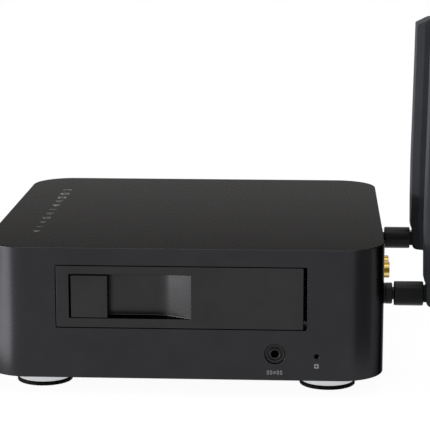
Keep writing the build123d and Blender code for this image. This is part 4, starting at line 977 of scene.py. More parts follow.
@dataclass
class Feet:
    """Four feet: a turned disc on a rubber pad."""

    disc: float = 12.2
    pad: float = 12.7
    low: float = 1.3
    high: float = UNDERSIDE
    grooves: Row = (3.5, 6.5, 9.5)

    def build(self) -> None:
        """Makes the discs and the pads, each a closed line of (radius, height) turned upright.

        A disc has a waist: its side is a shallow hollow between two rounded lips. A pad has a groove round
        its rim and three rings pressed into its sole.
        """
        discs, pads, low, high = Skin(), Skin(), self.low, self.high
        disc = [
            (3.2, low), (self.disc - 0.25, low, 0.3), (self.disc, low + 0.6, 0.4),
            (self.disc - 0.12, (low + high) / 2, 6.0), (self.disc, high - 0.6, 0.4),
            (self.disc - 0.3, high, 0.2), (1.5, high), (1.5, FOOT_SEAT), (3.2, FOOT_SEAT),
            (3.2, low),
        ]
        pad = [(0, 0)]
        for r in self.grooves:
            pad += [(r, 0, 0.1), (r + 0.2, 0.35, 0.1), (r + 0.8, 0.35, 0.1), (r + 1.0, 0, 0.1)]
        pad += [
            (self.pad, 0, 0.3), (self.pad, 0.6, 0.05), (self.pad - 0.2, 0.65), (self.pad - 0.2, 0.83),
            (self.pad, 0.88, 0.05), (self.pad, low, 0.15), (0, low),
        ]
        for x, y in four(*FOOT):
            discs.turned(TOP, x, y, disc, 20, 6)
            pads.turned(TOP, x, y, pad, 20)
        discs.piece("foot_turned_discs", FOOT_METAL, "foot_metal", "foot_discs")
        pads.piece("foot_rubber_pads", PAD_RUBBER, "foot_rubber", "foot_pads")


@dataclass
class DriveDoor:
    """Door over the drive bay: a moulded skin with a finger scoop, the tub behind it and the hinge block."""

    skin_line: Outline = Outline(-0.903, MOUTH[1], 109.79, 27.9, 0.45, 4)
    back: float = 86.0
    tub_back: float = 81.8
    open_y: Pair = (-50.1, 4.5)
    open_z: Pair = (35.1, 55.1)
    tub_y: Pair = (-40.65, 6.0)
    tub_z: Pair = (33.6, 56.6)
    bend_y: float = -13.84
    ramp_y: float = -5.5
    ramp: float = math.radians(28.0)
    floor: float = 82.6
    rim: float = 0.3
    fillet: float = 0.35
    edge: float = 0.25
    hinge: Line = ((83.0, 46.79), (86.5, 46.79), (86.5, 53.94), (84.5, 53.94), (83.0, 52.44))
    hinge_z: Pair = (31.0, 58.8)
    along: float = 0.8
    across: int = 8
    arc_steps: int = 5
    rows: int = 56

    def floor_at(self, y: Array) -> Array:
        """Floor of the scoop: level as far as bend_y, an arc as far as ramp_y, and a ramp up to the face.

        Args:
            y: Places along the scoop.

        Returns:
            The floor's distance out at each.
        """
        run = self.ramp_y - self.bend_y
        radius = run / math.sin(self.ramp)
        past = np.clip(y - self.bend_y, 0, run)
        bend = radius - np.sqrt(radius**2 - past**2)
        return self.floor + bend + np.maximum(y - self.ramp_y, 0) * math.tan(self.ramp)

    def scoop(self) -> Array:
        """Surface of the scoop as a grid (across, along): a trough whose section shrinks with its depth.

        At a place y the depth is d = face - floor_at(y). The section goes over a rim of radius min(rim, d/2),
        down a wall, through a fillet of radius min(fillet, 0.8 (d - rim)) and across the floor, and back up.
        """
        z0, z1 = self.open_z
        past = np.linspace(0, 1, self.rows) ** self.along
        past = self.bend_y + past * (self.open_y[1] - self.bend_y)
        y = np.unique(np.concatenate((np.linspace(self.tub_y[0], self.bend_y, 6), past)))
        depth = FACE - self.floor_at(y)
        depth[-1] = 0.0
        rim, turn = np.minimum(self.rim, depth / 2), np.linspace(0, np.pi / 2, self.arc_steps)[:, None]
        fillet = np.clip(0.8 * (depth - rim), 0, self.fillet)
        floor = FACE - depth
        over = (z0 - rim * (1 - np.sin(turn)), FACE - rim * (1 - np.cos(turn)))
        ledge = np.clip(self.back, floor + fillet, FACE - rim)
        under = (z0 + fillet * (1 - np.cos(turn)), floor + fillet * (1 - np.sin(turn)))
        low = np.concatenate((over[0], np.full((1, len(y)), z0), under[0]))
        out = np.concatenate((over[1], ledge[None], under[1]))
        share = np.linspace(0, 1, self.across)[1:-1, None]
        across = low[-1] + (z0 + z1 - 2 * low[-1]) * share
        z = np.concatenate((low, across, z0 + z1 - low[::-1]))
        x = np.concatenate((out, np.broadcast_to(floor, across.shape), out[::-1]))
        return np.stack((x, np.broadcast_to(y, x.shape), z), -1)

    def opening(self, skin: Skin, trough: Array) -> Array:
        """Walls of the opening beside the flap, and the loop that it and the scoop leave in the face.

        The walls are the rim's quarter turn and a straight drop, carried round three sides.

        Args:
            skin: Skin that the walls join.
            trough: The scoop's grid.

        Returns:
            Loop of (y, z) in the face, turning left.
        """
        turn = np.linspace(0, np.pi / 2, self.arc_steps)
        away = np.concatenate((self.rim * (1 - np.sin(turn)), (0.0,)))[:, None]
        out = np.concatenate((FACE - self.rim * (1 - np.cos(turn)), (self.back,)))
        y = np.array([self.tub_y[0], self.open_y[0], self.open_y[0], self.tub_y[0]])
        z = np.repeat(self.open_z[::-1], 2)
        side_y, side_z = np.array([0, -1, -1, 0]), np.array([1, 1, -1, -1])
        wall = np.stack((y + side_y * away, z + side_z * away), -1)
        skin.grid(DOOR.place(wall, out[:, None]))
        low, high = trough[0, :, 1:], trough[-1, :, 1:]
        across = trough[1:-1, -1, 1:]
        return np.concatenate((low, across, high[::-1], wall[0, 1:3]))

    def build(self) -> None:
        """Makes the door as one closed surface, and its hinge block inside it."""
        skin = Skin()
        trough = self.scoop()
        skin.grid(trough)
        hole = self.opening(skin, trough)
        step = np.linalg.norm(hole - np.roll(hole, 1, axis=0), axis=1) > 1e-7
        side = rounded([(0, self.back), (0, FACE, self.edge), (self.edge, FACE)], 3)
        skin.sweep(DOOR, self.skin_line, side)
        skin.flat(DOOR, FACE, [self.skin_line.points(self.edge), hole[step]])
        y, (z0, z1), (a0, a1), (b0, b1) = self.open_y[0], self.open_z, self.tub_y, self.tub_z
        tub = np.array([(y, z0), (a0, z0), (a0, b0), (a1, b0), (a1, b1), (a0, b1), (a0, z1), (y, z1)])
        skin.flat(DOOR, self.back, [self.skin_line.points(), tub], flip=True)
        foot = tub[2:6]
        ends = np.stack([DOOR.place(foot, out) for out in (self.tub_back, self.back)])
        skin.grid(ends).flat(DOOR, self.tub_back, [foot], flip=True)
        mouth = trough[self.arc_steps:-self.arc_steps, 0, [0, 2]]
        u_shape = [(self.back, b0), (self.tub_back, b0), (self.tub_back, b1), (self.back, b1), *mouth[::-1]]
        skin.flat(FRONT, -a0, [np.array(u_shape)])
        skin.prism(TOP, np.array(self.hinge), *self.hinge_z)
        skin.piece("bay_door", DOOR_COAT, "door_plastic", "drive_door", body="door")


@dataclass
class LatchLever:
    """Pull flap in the door with its hub, arm and hook."""

    flap: Outline = Outline(-41.075, 44.975, 16.35, 19.15, 0.3, 4)
    thick: float = 2.4
    pin: Pair = (88.0, -47.3)
    hub: Line = ((0, 35.45), (1.9, 35.45, 0.15), (1.9, 54.5, 0.15), (0, 54.5))

    def build(self) -> None:
        """Makes the lever: the flap with broken edges, and the hub, arm and hook run into it."""
        skin = Skin()
        skin.slab(DOOR, self.flap, FACE - self.thick, FACE, 0.25, 0.15)
        skin.turned(TOP, *self.pin, self.hub, 10)
        skin.block((82.0, -48.4, 44.55), (87.9, -45.9, 54.5), 0.25)
        skin.block((82.0, -51.0, 49.55), (83.6, -46.0, 58.4), 0.2)
        skin.piece("pull_flap", DOOR_COAT, "door_plastic", "latch_lever", body="latch")


@dataclass
class SideJack:
    """Round jack in the side: its body, the barrel with a metal sleeve, and the ring round it."""

    box: Outline = Outline(*JACK, 8.0, 8.0, 0.3, 3)
    bore: Outline = Outline.circle(*JACK, 2.4)
    box_out: Pair = (73.9, 87.9)
    barrel: Line = (
        (0, 75.0), (2.7, 75.0), (2.7, 86.8), (2.35, 86.8), (2.35, 89.8, 0.15), (2.05, 89.8, 0.08),
        (1.9, 89.5), (1.9, 76.8), (0, 76.8),
    )
    sleeve: Line = ((1.8, 77.0), (2.0, 77.0), (2.0, 89.5, 0.06), (1.8, 89.5, 0.06), (1.8, 77.0))
    collar: Line = (
        (2.7, 87.9), (4.5, 87.9), (4.5, 89.1, 0.25), (4.1, 89.1, 0.2), (3.7, 88.95, 1.0),
        (3.15, 88.85, 0.15), (3.1, 87.98), (2.7, 87.98), (2.7, 87.9),
    )

    def build(self) -> None:
        """Makes the jack, its sleeve and its ring, each turned about the jack's axis."""
        body, sleeve, collar = Skin(), Skin(), Skin()
        body.slab(DOOR, self.box, *self.box_out, 0.1, 0.2, holes=(self.bore,))
        body.turned(DOOR, *JACK, self.barrel, arc=3)
        body.piece("side_jack", FRAME_ABS, "socket_plastic", "serial_jack")
        sleeve.turned(DOOR, *JACK, self.sleeve, arc=3)
        sleeve.piece("side_jack_sleeve", BLACK_STEEL, "bright_steel")
        collar.turned(DOOR, *JACK, self.collar)
        collar.piece("side_jack_ring", NYLON, "socket_plastic", "jack_collar")


@dataclass
class FrontPanel:
    """What the front wall holds: the smoked window, the segment display behind it and the power button."""

    window: Outline = Outline(*WINDOW, 101.7, 33.7, 1.85)
    flange: Outline = Outline(*WINDOW, 108.7, 40.7, 2.0)
    window_out: float = 89.7
    flange_out: Pair = (86.5, 88.0)
    window_edge: float = 0.3
    digits: int = 6
    digit_width: float = 6.0
    digit_height: float = 11.0
    digit_pitch: float = 9.4
    stroke: float = 1.0
    lean: float = 0.14
    segment_out: Pair = (86.1, 86.25)
    dots: Pair = (-16.4, 2.4)
    dot_high: float = 2.2
    dot: float = 0.6

    def glass(self) -> None:
        """The window, a plate on a wider flange: one line of (inset, out) for each."""
        skin = Skin()
        back, seat = self.flange_out
        side = [(0, seat), (0, self.window_out, self.window_edge), (self.window_edge, self.window_out)]
        skin.sweep(FRONT, self.window, rounded(side))
        skin.flat(FRONT, self.window_out, [self.window.points(self.window_edge)])
        skin.sweep(FRONT, self.flange, rounded([(0, back), (0, seat)]))
        skin.flat(FRONT, seat, [self.flange.points(), self.window.points()])
        skin.flat(FRONT, back, [self.flange.points()], flip=True)
        skin.piece("display_window", SMOKED, "window_tint", "front_window")

    def segments(self) -> None:
        """Unlit segments: seven six-cornered bars to a digit, sheared by the lean, and two pairs of dots."""
        skin = Skin()
        w, h, s = self.digit_width, self.digit_height, self.stroke
        level = [(0, h / 2), (0, 0), (0, -h / 2)]
        upright = [(-w / 2, h / 4), (w / 2, h / 4), (-w / 2, -h / 4), (w / 2, -h / 4)]
        for digit in range(self.digits):
            middle = WINDOW[0] + (digit - (self.digits - 1) / 2) * self.digit_pitch
            for a, b in level + upright:
                reach = ((h / 2 if a else w) - s) / 2 - 0.3
                tip = reach + s * 0.35
                bar = np.array([
                    (tip, 0), (reach, s / 2), (-reach, s / 2), (-tip, 0), (-reach, -s / 2), (reach, -s / 2),
                ])
                bar = (bar[:, ::-1] * (-1, 1) if a else bar) + (a, b)
                bar[:, 0] += bar[:, 1] * self.lean
                skin.prism(FRONT, bar + (middle, WINDOW[1]), *self.segment_out)
        for a in self.dots:
            for b in (-self.dot_high, self.dot_high):
                dot = Outline.circle(a + b * self.lean, WINDOW[1] + b, self.dot, 4)
                skin.slab(FRONT, dot, *self.segment_out, 0.0)
        skin.piece("display_segments", SEGMENTS, "display_face")

    def button(self) -> None:
        """The button: a line of (radius, out) from its stem over the flange to a shallow dish with a ring."""
        line = [
            (0, 84.8), (2, 84.8), (2, 86.8), (7, 86.8), (7, 87.8, 0.1), (6, 87.8), (6, 90.6, 0.45),
            (5.1, 90.6, 0.15), (4.95, 90.35, 0.1), (4.7, 90.35, 0.1), (4.55, 90.55, 0.2), (2.4, 90.42, 4.0),
            (0, 90.38),
        ]
        key = Skin().turned(FRONT, *BUTTON, line, 18, 5)
        key.piece("power_key", CASE_COAT, "button_plastic", "power_button", body="button")

    def build(self) -> None:
        """Makes the pieces, and dresses what stands behind them."""
        self.glass()
        self.segments()
        self.button()
        dress(DISPLAY, "display_face", "display_module")
        dress(RESIN, "chip_resin", "ir_receiver", "power_switch")
        dress(BOARD, "board_laminate", "display_board")


@dataclass
class BackPanel:
    """Back panel with its sockets and the two gold sound jacks."""

    jacks: tuple[tuple[float, str], ...] = ((-42.0, "red"), (-28.0, "white"))
    jack_z: float = 32.4
    lan_x: float = 32.0
    lan_step: float = 1.02
    wire: Line = ((-77.0, 27.2), (-77.0, 27.45), (-85.3, 24.8), (-85.2, 24.5))
    wire_half: float = 0.22
    hdmi_x: Row = (-7.0, 12.0)
    usb_x: float = 55.0
    usb_z: Row = (20.3, 27.7)

    def collars(self) -> None:
        """Gold collars, tubes with a band, a groove and a rounded lip, and their cores with a bore."""
        collar = [
            (3.35, 86.5), (4.15, 86.5), (4.15, 89.3, 0.15), (3.9, 89.5, 0.1), (3.9, 90.0, 0.1),
            (4.15, 90.2, 0.15), (4.15, 93.0, 0.1), (4.0, 93.15, 0.1), (4.0, 93.4, 0.1), (4.15, 93.55, 0.1),
            (4.15, 96.4, 0.4), (3.35, 96.4, 0.25), (3.35, 86.5),
        ]
        core = [(0, 86.6), (3.34, 86.6), (3.34, 95.2, 0.2), (1.7, 95.2, 0.25), (1.7, 88.2), (0, 88.2)]
        skin = Skin()
        for x, _ in self.jacks:
            skin.turned(BACK, -x, self.jack_z, collar, 16)
        skin.piece("sound_jack_collars", GOLD, "jack_gold", "rca_jacks")
        for x, colour in self.jacks:
            held = Skin().turned(BACK, -x, self.jack_z, core, 12)
            held.piece(f"sound_jack_core_{colour}", CORES[colour], "jack_core", "rca_cores")

    def contacts(self) -> None:
        """Gold contacts: eight sprung wires in the network socket, and flat ones on the plastic tongues."""
        skin = Skin()
        for i in range(8):
            x = self.lan_x + (i - 3.5) * self.lan_step
            skin.prism(PLAIN, np.array(self.wire), -x - self.wire_half, -x + self.wire_half)
        rows = [(x, 9, 1.1, 0.22, (78.0, 19.77), (86.2, 19.82)) for x in self.hdmi_x]
        rows += [(self.usb_x, 4, 2.4, 0.6, (77.0, z - 0.04), (86.6, z + 0.02)) for z in self.usb_z]
        for middle, count, step, half, low, high in rows:
            for i in range(count):
                x = middle + (i - (count - 1) / 2) * step
                skin.block((x - half, *low), (x + half, *high), 0.0)
        skin.piece("socket_contacts", GOLD, "jack_gold")

    def build(self) -> None:
        """Makes the collars and contacts, and dresses the panel and its sockets."""
        self.collars()
        self.contacts()
        dress(POWDER_COAT, "case_coat", "rear_panel")
        dress(FRAME_ABS, "socket_plastic", "dc_socket", "lan_socket", "rca_housing", "socket_tongues")
        dress(SHELL, "socket_shell", "hdmi_sockets", "usb_socket")
        dress(BRASS, "brass_fittings", "antenna_bulkheads")


@dataclass
class Aerial:
    """One aerial: the ring screwed on its socket, the swivel barrel, and the tilting blade on its fork."""

    side: int
    name: str
    tilt_y: float = 116.2
    heights: Row = (5.3, 7.1, 19.5, 41.0, 92.8, 114.7)
    widths: Row = (16.0, 17.2, 24.6, 24.6, 24.6, 24.6)
    thicks: Row = (14.0, 16.1, 16.1, 16.1, 14.2, 13.6)
    bevel_front: float = 2.0
    bevel_side: float = 3.8
    tip_slope: float = math.radians(26.2)
    tip_ridge: float = 1.5
    tip_corner: float = 5.0
    tip_round: float = 0.3
    tongue: Outline = Outline(112.1, AERIAL_Z, 15.2, 7.0, 3.5, 8)
    tongue_half: float = 3.0
    pin: float = 1.3
    fork_half: float = 7.0
    fork_rise: float = 9.0
    fork_drop: float = 5.05
    fork_corner: float = 2.4

    @property
    def x(self) -> float:
        """Returns the aerial's middle along X."""
        return self.side * AERIAL_X

    def tip(self, flat: Array) -> Array:
        """Height of the blade's end over a point (x, y) of its section, above the tilt axis.

        A gable over y with a round ridge of radius R, top - R + sqrt(R^2 - y^2) as far as R sin s and the
        slope s past it, and two rounded corners over x meet in a soft minimum, -k ln(e^(-p/k) + e^(-q/k)),
        with k 0.15.

        Args:
            flat: Points as (..., 2), from the blade's middle.

        Returns:
            The heights, as (...).
        """
        top, k = self.heights[-1], 0.15
        away, run = abs(flat[..., 1]), self.tip_ridge * math.sin(self.tip_slope)
        gable = top - self.tip_ridge + np.sqrt(self.tip_ridge**2 - np.minimum(away, run) ** 2)
        gable = gable - np.maximum(away - run, 0) * math.tan(self.tip_slope)
        past = np.clip(abs(flat[..., 0]) - (self.widths[-1] / 2 - self.tip_corner), 0, self.tip_corner)
        corner = top + 0.6 - self.tip_corner + np.sqrt(self.tip_corner**2 - past**2)
        least = np.minimum(gable, corner)
        return least - k * np.log(np.exp(-(gable - least) / k) + np.exp(-(corner - least) / k))

    def blade(self, skin: Skin) -> None:
        """The blade: bevelled sections between the named heights, cut off by the tip's surface.

        Point (i, j) of the sides is section point j at height i or the tip less its rounding, whichever is
        lower. The end goes on inwards from the last section over a quarter turn to the middle line, and its
        corners shrink with it.

        Args:
            skin: Skin that it joins.
        """
        counts = (3, 6, 4, 8, 30)
        spans = zip(self.heights, self.heights[1:], counts)
        z = [np.linspace(low, high, count, endpoint=False) for low, high, count in spans]
        z = np.concatenate(z + [self.heights[-1:]])
        width, thick = (np.interp(z, self.heights, v) for v in (self.widths, self.thicks))
        bevel = rounded([(0, -9), (0, -self.bevel_side, 0.7), (-self.bevel_front, 0, 0.7), (-9, 0)], 3)[1:-1]
        sides = ring(width, thick, bevel, 15)
        turn, half = np.linspace(0, np.pi / 2, 4)[1:], thick[-1] / 2
        inset = self.tip_round * (1 - np.cos(turn))
        inset = np.concatenate((inset, np.linspace(self.tip_round, half, 9)[1:]))
        drop = np.concatenate((self.tip_round * (1 - np.sin(turn)), np.zeros(8)))
        shrunk = np.multiply.outer(1 - inset / half, bevel)
        cap = ring(width[-1] - 2 * inset, thick[-1] - 2 * inset, shrunk, 15)
        rise = np.minimum(z[:, None], self.tip(sides) - self.tip_round)
        rise = np.concatenate((rise, self.tip(cap) - drop[:, None]))
        flat = np.concatenate((sides, cap))
        middle = (self.x, self.tilt_y)
        skin.grid(TOP.place(flat + middle, AERIAL_Z + rise), closed=True)
        skin.flat(TOP, AERIAL_Z + z[0], [sides[0] + middle], flip=True)

    def fork(self, skin: Skin) -> None:
        """The fork: two cheeks whose outer sides are bevelled like the blade, and a web between them.

        A cheek is a row of rounded rectangles whose width falls by twice the shrink at each place out.

        Args:
            skin: Skin that it joins.
        """
        x, y, z = self.x, self.tilt_y, AERIAL_Z
        low, high = z - self.fork_drop, self.fork_drop + self.fork_rise
        line = rounded([(0, 3.25), (0, 6.0, 0.7), (self.bevel_side, 8.0)], 3)
        line = np.concatenate((line[:-1], [(self.bevel_side * 0.95, 7.9), (self.bevel_side, 8.0)]))
        inset = np.zeros(len(line))
        inset[-1] = 0.12
        corner = quarter(self.fork_corner - inset, 6)
        rings = ring(2 * self.fork_half - 2 * (line[:, 0] + inset), high - 2 * inset, corner)
        rings = rings + (y, low + high / 2)
        for flat, out in ((rings, line[:, 1]), (rings[::-1], -line[::-1, 1])):
            skin.grid(DOOR.place(flat, x + out[:, None]), closed=True)
            skin.flat(DOOR, x + out[-1], [flat[-1]])
            skin.flat(DOOR, x + out[0], [flat[0]], flip=True)
        front, back, inner = y - self.fork_half, y + self.fork_half, 3.8
        bend = quarter(self.fork_corner, 6)[::-1] * (1, -1) + (back, low)
        web = [(back, z + 7), (front, z + 7), (front, z + inner), (y + inner, z + inner), (y + inner, low)]
        skin.prism(DOOR, np.concatenate((bend, web)), x - 3.4, x + 3.4)

    def build(self) -> None:
        """Makes the aerial's pieces and dresses its pin and strip."""
        side, skin = self.name, Skin()
        barrel = [
            (0, 104.0), (2.95, 104.0), (2.95, 94.8), (5.55, 94.8, 0.55), (5.55, 108.0, 0.55), (0, 108.0),
        ]
        skin.turned(BACK, -self.x, AERIAL_Z, barrel, 18)
        low, high = self.x - self.tongue_half, self.x + self.tongue_half
        pin = Outline.circle(self.tilt_y, AERIAL_Z, self.pin, 6)
        skin.slab(DOOR, self.tongue, low, high, 0.4, 0.4, holes=(pin,))
        skin.piece(f"aerial_barrel_{side}", BARREL_NYLON, "antenna_plastic", f"antenna_barrel_{side}",
                   body=f"barrel_{side}")
        skin = Skin()
        self.blade(skin)
        self.fork(skin)
        skin.piece(f"aerial_blade_{side}", AERIAL_COAT, "antenna_plastic", f"antenna_blade_{side}",
                   body=f"blade_{side}", crease=24.0)
        dress(NICKEL, "bright_steel", f"antenna_pin_{side}")
        dress(BRASS, "brass_fittings", f"antenna_radiator_{side}")


@dataclass
class AerialRings:
    """Rings that screw both aerials on their sockets, and the spigots that the barrels turn on."""

    def build(self) -> None:
        """Makes the rings: a turned line of (radius, out) with a groove and the spigot, for each side."""
        skin = Skin()
        line = [
            (0, 93.2), (3.1, 93.2), (3.1, 88.0), (4.85, 88.0, 0.25), (4.85, 90.6, 0.1), (4.65, 90.8),
            (4.65, 91.0), (4.85, 91.2, 0.1), (4.85, 94.0, 0.45), (2.9, 94.0), (2.9, 103.6, 0.3), (0, 103.6),
        ]
        for x in (AERIAL_X, -AERIAL_X):
            skin.turned(BACK, x, AERIAL_Z, line, 16)
        skin.piece("aerial_rings", BARREL_NYLON, "antenna_plastic", "antenna_couplings")


@dataclass
class DriveBay:
    """Bay behind the door: the frame in the mouth, the floor and rails, and the drive's connector."""

    mouth: Outline = Outline(*MOUTH, 111.8, 28.6, 0.01, 2)
    outer: Outline = Outline(*MOUTH, 117.8, 34.6, 1.8)
    front: float = 87.97
    back: float = 78.0
    ear_back: float = 85.0

    def frame(self) -> None:
        """The frame: a rounded tube of slab behind the wall, with an ear at each end for its stud."""
        skin = Skin()
        skin.slab(DOOR, self.outer, self.back, self.front, 0.1, 0.3, holes=(self.mouth,))
        for y in STUDS_Y:
            ear, bore = Outline(y, MOUTH[1], 6.2, 7.0, 1.0, 3), Outline.circle(y, MOUTH[1], 1.5, 6)
            skin.slab(DOOR, ear, self.ear_back, self.front, 0.1, 0.3, holes=(bore,))
        skin.piece("mouth_frame", FRAME_ABS, "frame_plastic", "bay_frame")

    def build(self) -> None:
        """Makes the frame and dresses the rest."""
        self.frame()
        dress(ZINC_SHEET, "plated_sheet", "bay_floor", "bay_rails")
        dress(NICKEL, "bright_steel", "bay_posts", "frame_nuts")
        dress(DARK_PIN, "bright_steel", "door_hinge_pins", "latch_pin")
        dress(BLACK_STEEL, "screw_steel", "bay_screws")
        dress(SPRING, "spring_steel", "latch_spring", "keeper_clip")
        dress(FRAME_ABS, "socket_plastic", "drive_connector")
        dress(BOARD, "board_laminate", "riser_board")


@dataclass
class MainBoard:
    """Main board with what stands on it, and the leads to it."""

    cans_x: float = -50.0
    cans_step: float = 8.2
    cans_y: float = 63.0

    def cans(self) -> None:
        """Capacitors: a can whose line has a crimp near its foot and a sunk lid, turned upright."""
        sleeves, lids = Skin(), Skin()
        can = [
            (0, 15.8), (3.1, 15.8, 0.2), (3.1, 17.2, 0.3), (2.85, 17.6, 0.3), (3.1, 18.0, 0.3),
            (3.1, 23.8, 0.3), (2.6, 23.8), (2.6, 23.5), (0, 23.5),
        ]
        lid = [(0, 23.3), (2.55, 23.3), (2.55, 23.65), (0, 23.65)]
        for i in range(4):
            x = self.cans_x + i * self.cans_step
            sleeves.turned(TOP, x, self.cans_y, can, 8, 3)
            lids.turned(TOP, x, self.cans_y, lid, 8)
        sleeves.piece("capacitor_cans", SLEEVE, "chip_resin", "capacitors")
        lids.piece("capacitor_lids", SINK, "sink_aluminium")

    def lead(self, name: str, route: Array, radius: float, node: str) -> None:
        """A flexible lead on one smooth spline whose control points are the route's.

        Args:
            name: Name of the piece.
            route: Points of the route, from one socket to the other.
            radius: Radius of the lead.
            node: Solid that it stands for.
        """
        line = bpy.data.curves.new(name, "CURVE")
        line.dimensions = "3D"
        spline = line.splines.new("NURBS")
        spline.points.add(len(route) - 1)
        points = np.column_stack((route * MM, np.ones(len(route))))
        spline.points.foreach_set("co", points.ravel())
        spline.use_endpoint_u = True
        spline.order_u = 3
        line.bevel_depth = radius * MM
        line.bevel_resolution = 4
        line.resolution_u = 10
        line.use_fill_caps = True
        line.materials.append(VINYL.material())
        made = linked(name, line)
        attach(made, "case")
        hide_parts(node)
        log.info("%s: lead of %d points", name, len(route))

    @staticmethod
    def length(line: bpy.types.Curve) -> float:
        """Returns the spline's length in metres, measured by the spline itself."""
        return float(line.splines[0].calc_length())

    def build(self) -> None:
        """Dresses the boards and what they carry, and makes the cans and the leads."""
        self.cans()
        dress(BOARD, "board_laminate", "main_board")
        dress(RESIN, "chip_resin", "board_chips")
        dress(SINK, "sink_aluminium", "heat_sink")
        dress(SHELL, "socket_shell", "wireless_module")
        dress(FRAME_ABS, "socket_plastic", "board_sockets", "reset_switch")
        dress(PLUNGER, "socket_plastic", "reset_plunger")
        dress(NICKEL, "bright_steel", "board_standoffs")
        dress(BLACK_STEEL, "screw_steel", "board_screws")
        dress(POWDER_COAT, "case_coat", "bottom_plate")
        self.lead("front_board_lead", np.array([
            (-20, -78.6, 24.4), (-20, -72.6, 24.4), (-20, -68.6, 21.8), (-20, -61.6, 18.8), (-20, -23, 18.8),
        ]), 1.5, "front_lead")
        route = np.array([
            (AERIAL_X, 79.0, AERIAL_Z), (AERIAL_X, 68.0, AERIAL_Z), (59.6, 62.0, 32.8), (50.6, 60.0, 24.8),
            (35.6, 58.0, 21.8), (20.6, 53.0, 24.8), (7.0, 51.0, 24.8), (7.0, 51.0, 18.8),
        ])
        for side, name in ((-1, "left"), (1, "right")):
            self.lead(f"aerial_lead_{name}", route * (side, 1, 1), 0.7, "antenna_leads")


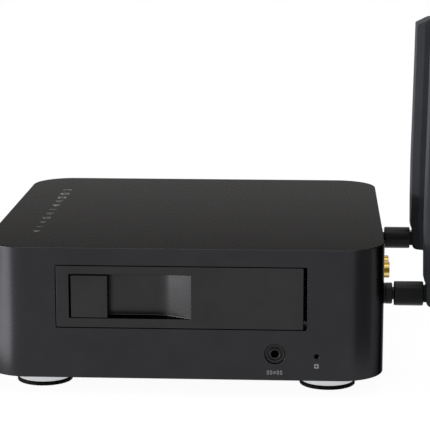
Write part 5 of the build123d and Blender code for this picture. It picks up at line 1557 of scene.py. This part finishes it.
@dataclass
class Studio:
    """Pale floor, soft lamps and the camera that the photograph was taken with."""

    camera: Place = (869.55, 58.50, 234.31)
    yaw: float = 0.055813
    pitch: float = 0.192088
    roll: float = 0.000519
    focal: float = 1816.298
    frame_size: float = 430.0
    sensor: float = 36.0
    white: Row = (1.0, 1.0, 1.0, 1.0)
    fill: Row = (0.55, 0.55, 0.56, 1.0)
    floor_half: float = 3000.0
    flag_turn: Pair = (34.0, 80.0)
    flag_middle: float = 70.0
    flag_away: float = 75.0
    flag_high: Pair = (0.5, 150.0)
    flag_glow: float = 0.38
    strip: Place = (0.383, -1.137, 0.11)
    strip_aim: Place = (0.05, 0, 0.1)
    panel: Place = (0.1795, -0.2635, 0.004)
    panel_turn: float = math.radians(-45.0)
    ceiling: Place = (0.0, 0.0, 1.5)

    def aim(self) -> None:
        """Camera: looks along -X, turned by yaw about Z, then down by pitch, then rolled about its view."""
        turn = Matrix.Rotation(self.yaw, 3, "Z") @ Matrix.Rotation(-self.pitch, 3, "Y")
        look, right, up = (turn @ Vector(v) for v in ((-1, 0, 0), (0, 1, 0), (0, 0, 1)))
        tip = Matrix.Rotation(self.roll, 3, look)
        axes = Matrix((tip @ right, tip @ up, -look)).transposed()
        lens = bpy.data.cameras.new("photo_camera")
        lens.sensor_width = self.sensor
        lens.lens = self.focal / self.frame_size * self.sensor
        lens.clip_start, lens.clip_end = 0.01, 50.0
        held = linked("photo_camera", lens)
        held.matrix_world = Matrix.Translation(Vector(self.camera) * MM) @ axes.to_4x4()
        bpy.context.scene.camera = held

    def lamp(self, name: str, place: Place, turn: Quaternion, size: Pair, watts: float) -> None:
        """A soft box.

        Args:
            name: Name of the lamp.
            place: Where it stands, in metres.
            turn: Its turn, from shining down.
            size: Width and height.
            watts: Power.
        """
        light = bpy.data.lights.new(name, "AREA")
        light.shape, light.size, light.size_y, light.energy = "RECTANGLE", *size, watts
        held = linked(name, light)
        held.location = place
        held.rotation_mode = "QUATERNION"
        held.rotation_quaternion = turn

    def seen(self, graph: Graph) -> Node:
        """Returns 1 for what the camera, a reflection or glass sees, and 0 for light on a surface."""
        path = graph.add("LightPath").outputs
        either = graph.add("Math", (path["Is Camera Ray"], path["Is Glossy Ray"]), operation="MAXIMUM")
        return graph.add("Math", (either, path["Is Transmission Ray"]), operation="MAXIMUM")

    def backdrop(self) -> None:
        """World: white where it is seen, and a plain level of light elsewhere."""
        world = bpy.data.worlds.new("studio_white")
        bpy.context.scene.world = world
        world.use_nodes = True
        graph = Graph(world.node_tree)
        two = {0: self.seen(graph), 6: self.fill, 7: self.white}
        shade = graph.add("Mix", two, data_type="RGBA").outputs[2]
        graph.add("OutputWorld", {"Surface": graph.add("Background", {"Color": shade, "Strength": 1.0})})

    def sheet(self, name: str, skin: Skin, paint: bpy.types.Material) -> None:
        """Makes a surface of the studio, which is no piece of the player.

        Args:
            name: Its name.
            skin: The surface.
            paint: Its material.
        """
        mesh = skin.mesh(name)
        mesh.materials.append(paint)
        held = linked(name, mesh)

    def floor(self) -> None:
        """Floor: a plane that fades to white, and keeps the player's shadow by a share of plain diffuse."""
        paint, graph = Graph.material("white_floor")
        plain = graph.add("BsdfDiffuse", {"Color": (0.85, 0.85, 0.85, 1.0)})
        glow = graph.add("Emission", {"Color": self.white, "Strength": 0.95})
        soft = graph.add("BsdfDiffuse", {"Color": (0.08, 0.08, 0.08, 1.0)})
        bright = graph.add("AddShader", (glow, soft))
        both = graph.add("MixShader", (self.seen(graph), plain, bright))
        below = graph.add("NewGeometry").outputs["Backfacing"]
        sided = graph.add("MixShader", (below, both, graph.add("BsdfTransparent")))
        graph.add("OutputMaterial", {"Surface": sided})
        square = np.array([(-1, -1), (1, -1), (1, 1), (-1, 1)]) * self.floor_half
        self.sheet("studio_floor", Skin().flat(TOP, 0.0, [square]), paint)

    def flag(self) -> None:
        """Black flag off the picture's right edge, an arc about the rear corner that only reflections see.

        It gives the corner the dark band between its two lighter edges.
        """
        turn = np.radians(np.linspace(*self.flag_turn, 15))
        line = self.flag_middle + self.flag_away * np.stack((np.cos(turn), np.sin(turn)), -1)
        cloth, graph = Graph.material("black_flag_cloth")
        dark = graph.add("Emission", {"Color": self.white, "Strength": self.flag_glow})
        glossy = graph.add("LightPath").outputs["Is Glossy Ray"]
        shader = graph.add("MixShader", (glossy, graph.add("BsdfTransparent"), dark))
        graph.add("OutputMaterial", {"Surface": shader})
        rows = np.stack([TOP.place(line, high) for high in self.flag_high])
        self.sheet("black_flag", Skin().grid(rows), cloth)

    def lamps(self) -> None:
        """Lamps: a low strip at the front, a small panel on the table that shines up, and a soft ceiling."""
        strip = (Vector(self.strip) - Vector(self.strip_aim)).to_track_quat("Z", "Y")
        self.lamp("low_strip_softbox", self.strip, strip, (1.0, 0.18), 20.0)
        panel = Matrix.Rotation(self.panel_turn, 4, "Z").to_quaternion() @ Quaternion((1, 0, 0), math.pi)
        self.lamp("table_light_panel", self.panel, panel, (0.32, 0.13), 0.48)
        down = Vector(self.ceiling).to_track_quat("Z", "Y")
        self.lamp("overhead_softbox", self.ceiling, down, (1.4, 1.4), 8.0)

    def build(self) -> None:
        """Makes the studio."""
        self.aim()
        self.backdrop()
        self.floor()
        self.flag()
        self.lamps()


def clear_start() -> None:
    """Removes what a fresh Blender file holds, and sets the view transform."""
    for held in list(bpy.context.scene.objects):
        if "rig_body" not in held and not held.name.startswith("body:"):
            bpy.data.objects.remove(held, do_unlink=True)
    bpy.context.scene.view_settings.view_transform = "Standard"


def main() -> None:
    """Builds the player piece by piece, then the studio."""
    logging.basicConfig(level=logging.INFO, format="%(name)s: %(message)s")
    clear_start()
    for part in (
        CaseCover(), Prints(), Screws(), Feet(), DriveDoor(), LatchLever(), SideJack(), FrontPanel(),
        BackPanel(), AerialRings(), Aerial(-1, "left"), Aerial(1, "right"), DriveBay(), MainBoard(), Studio(),
    ):
        part.build()


if __name__ == "__main__":
    main()
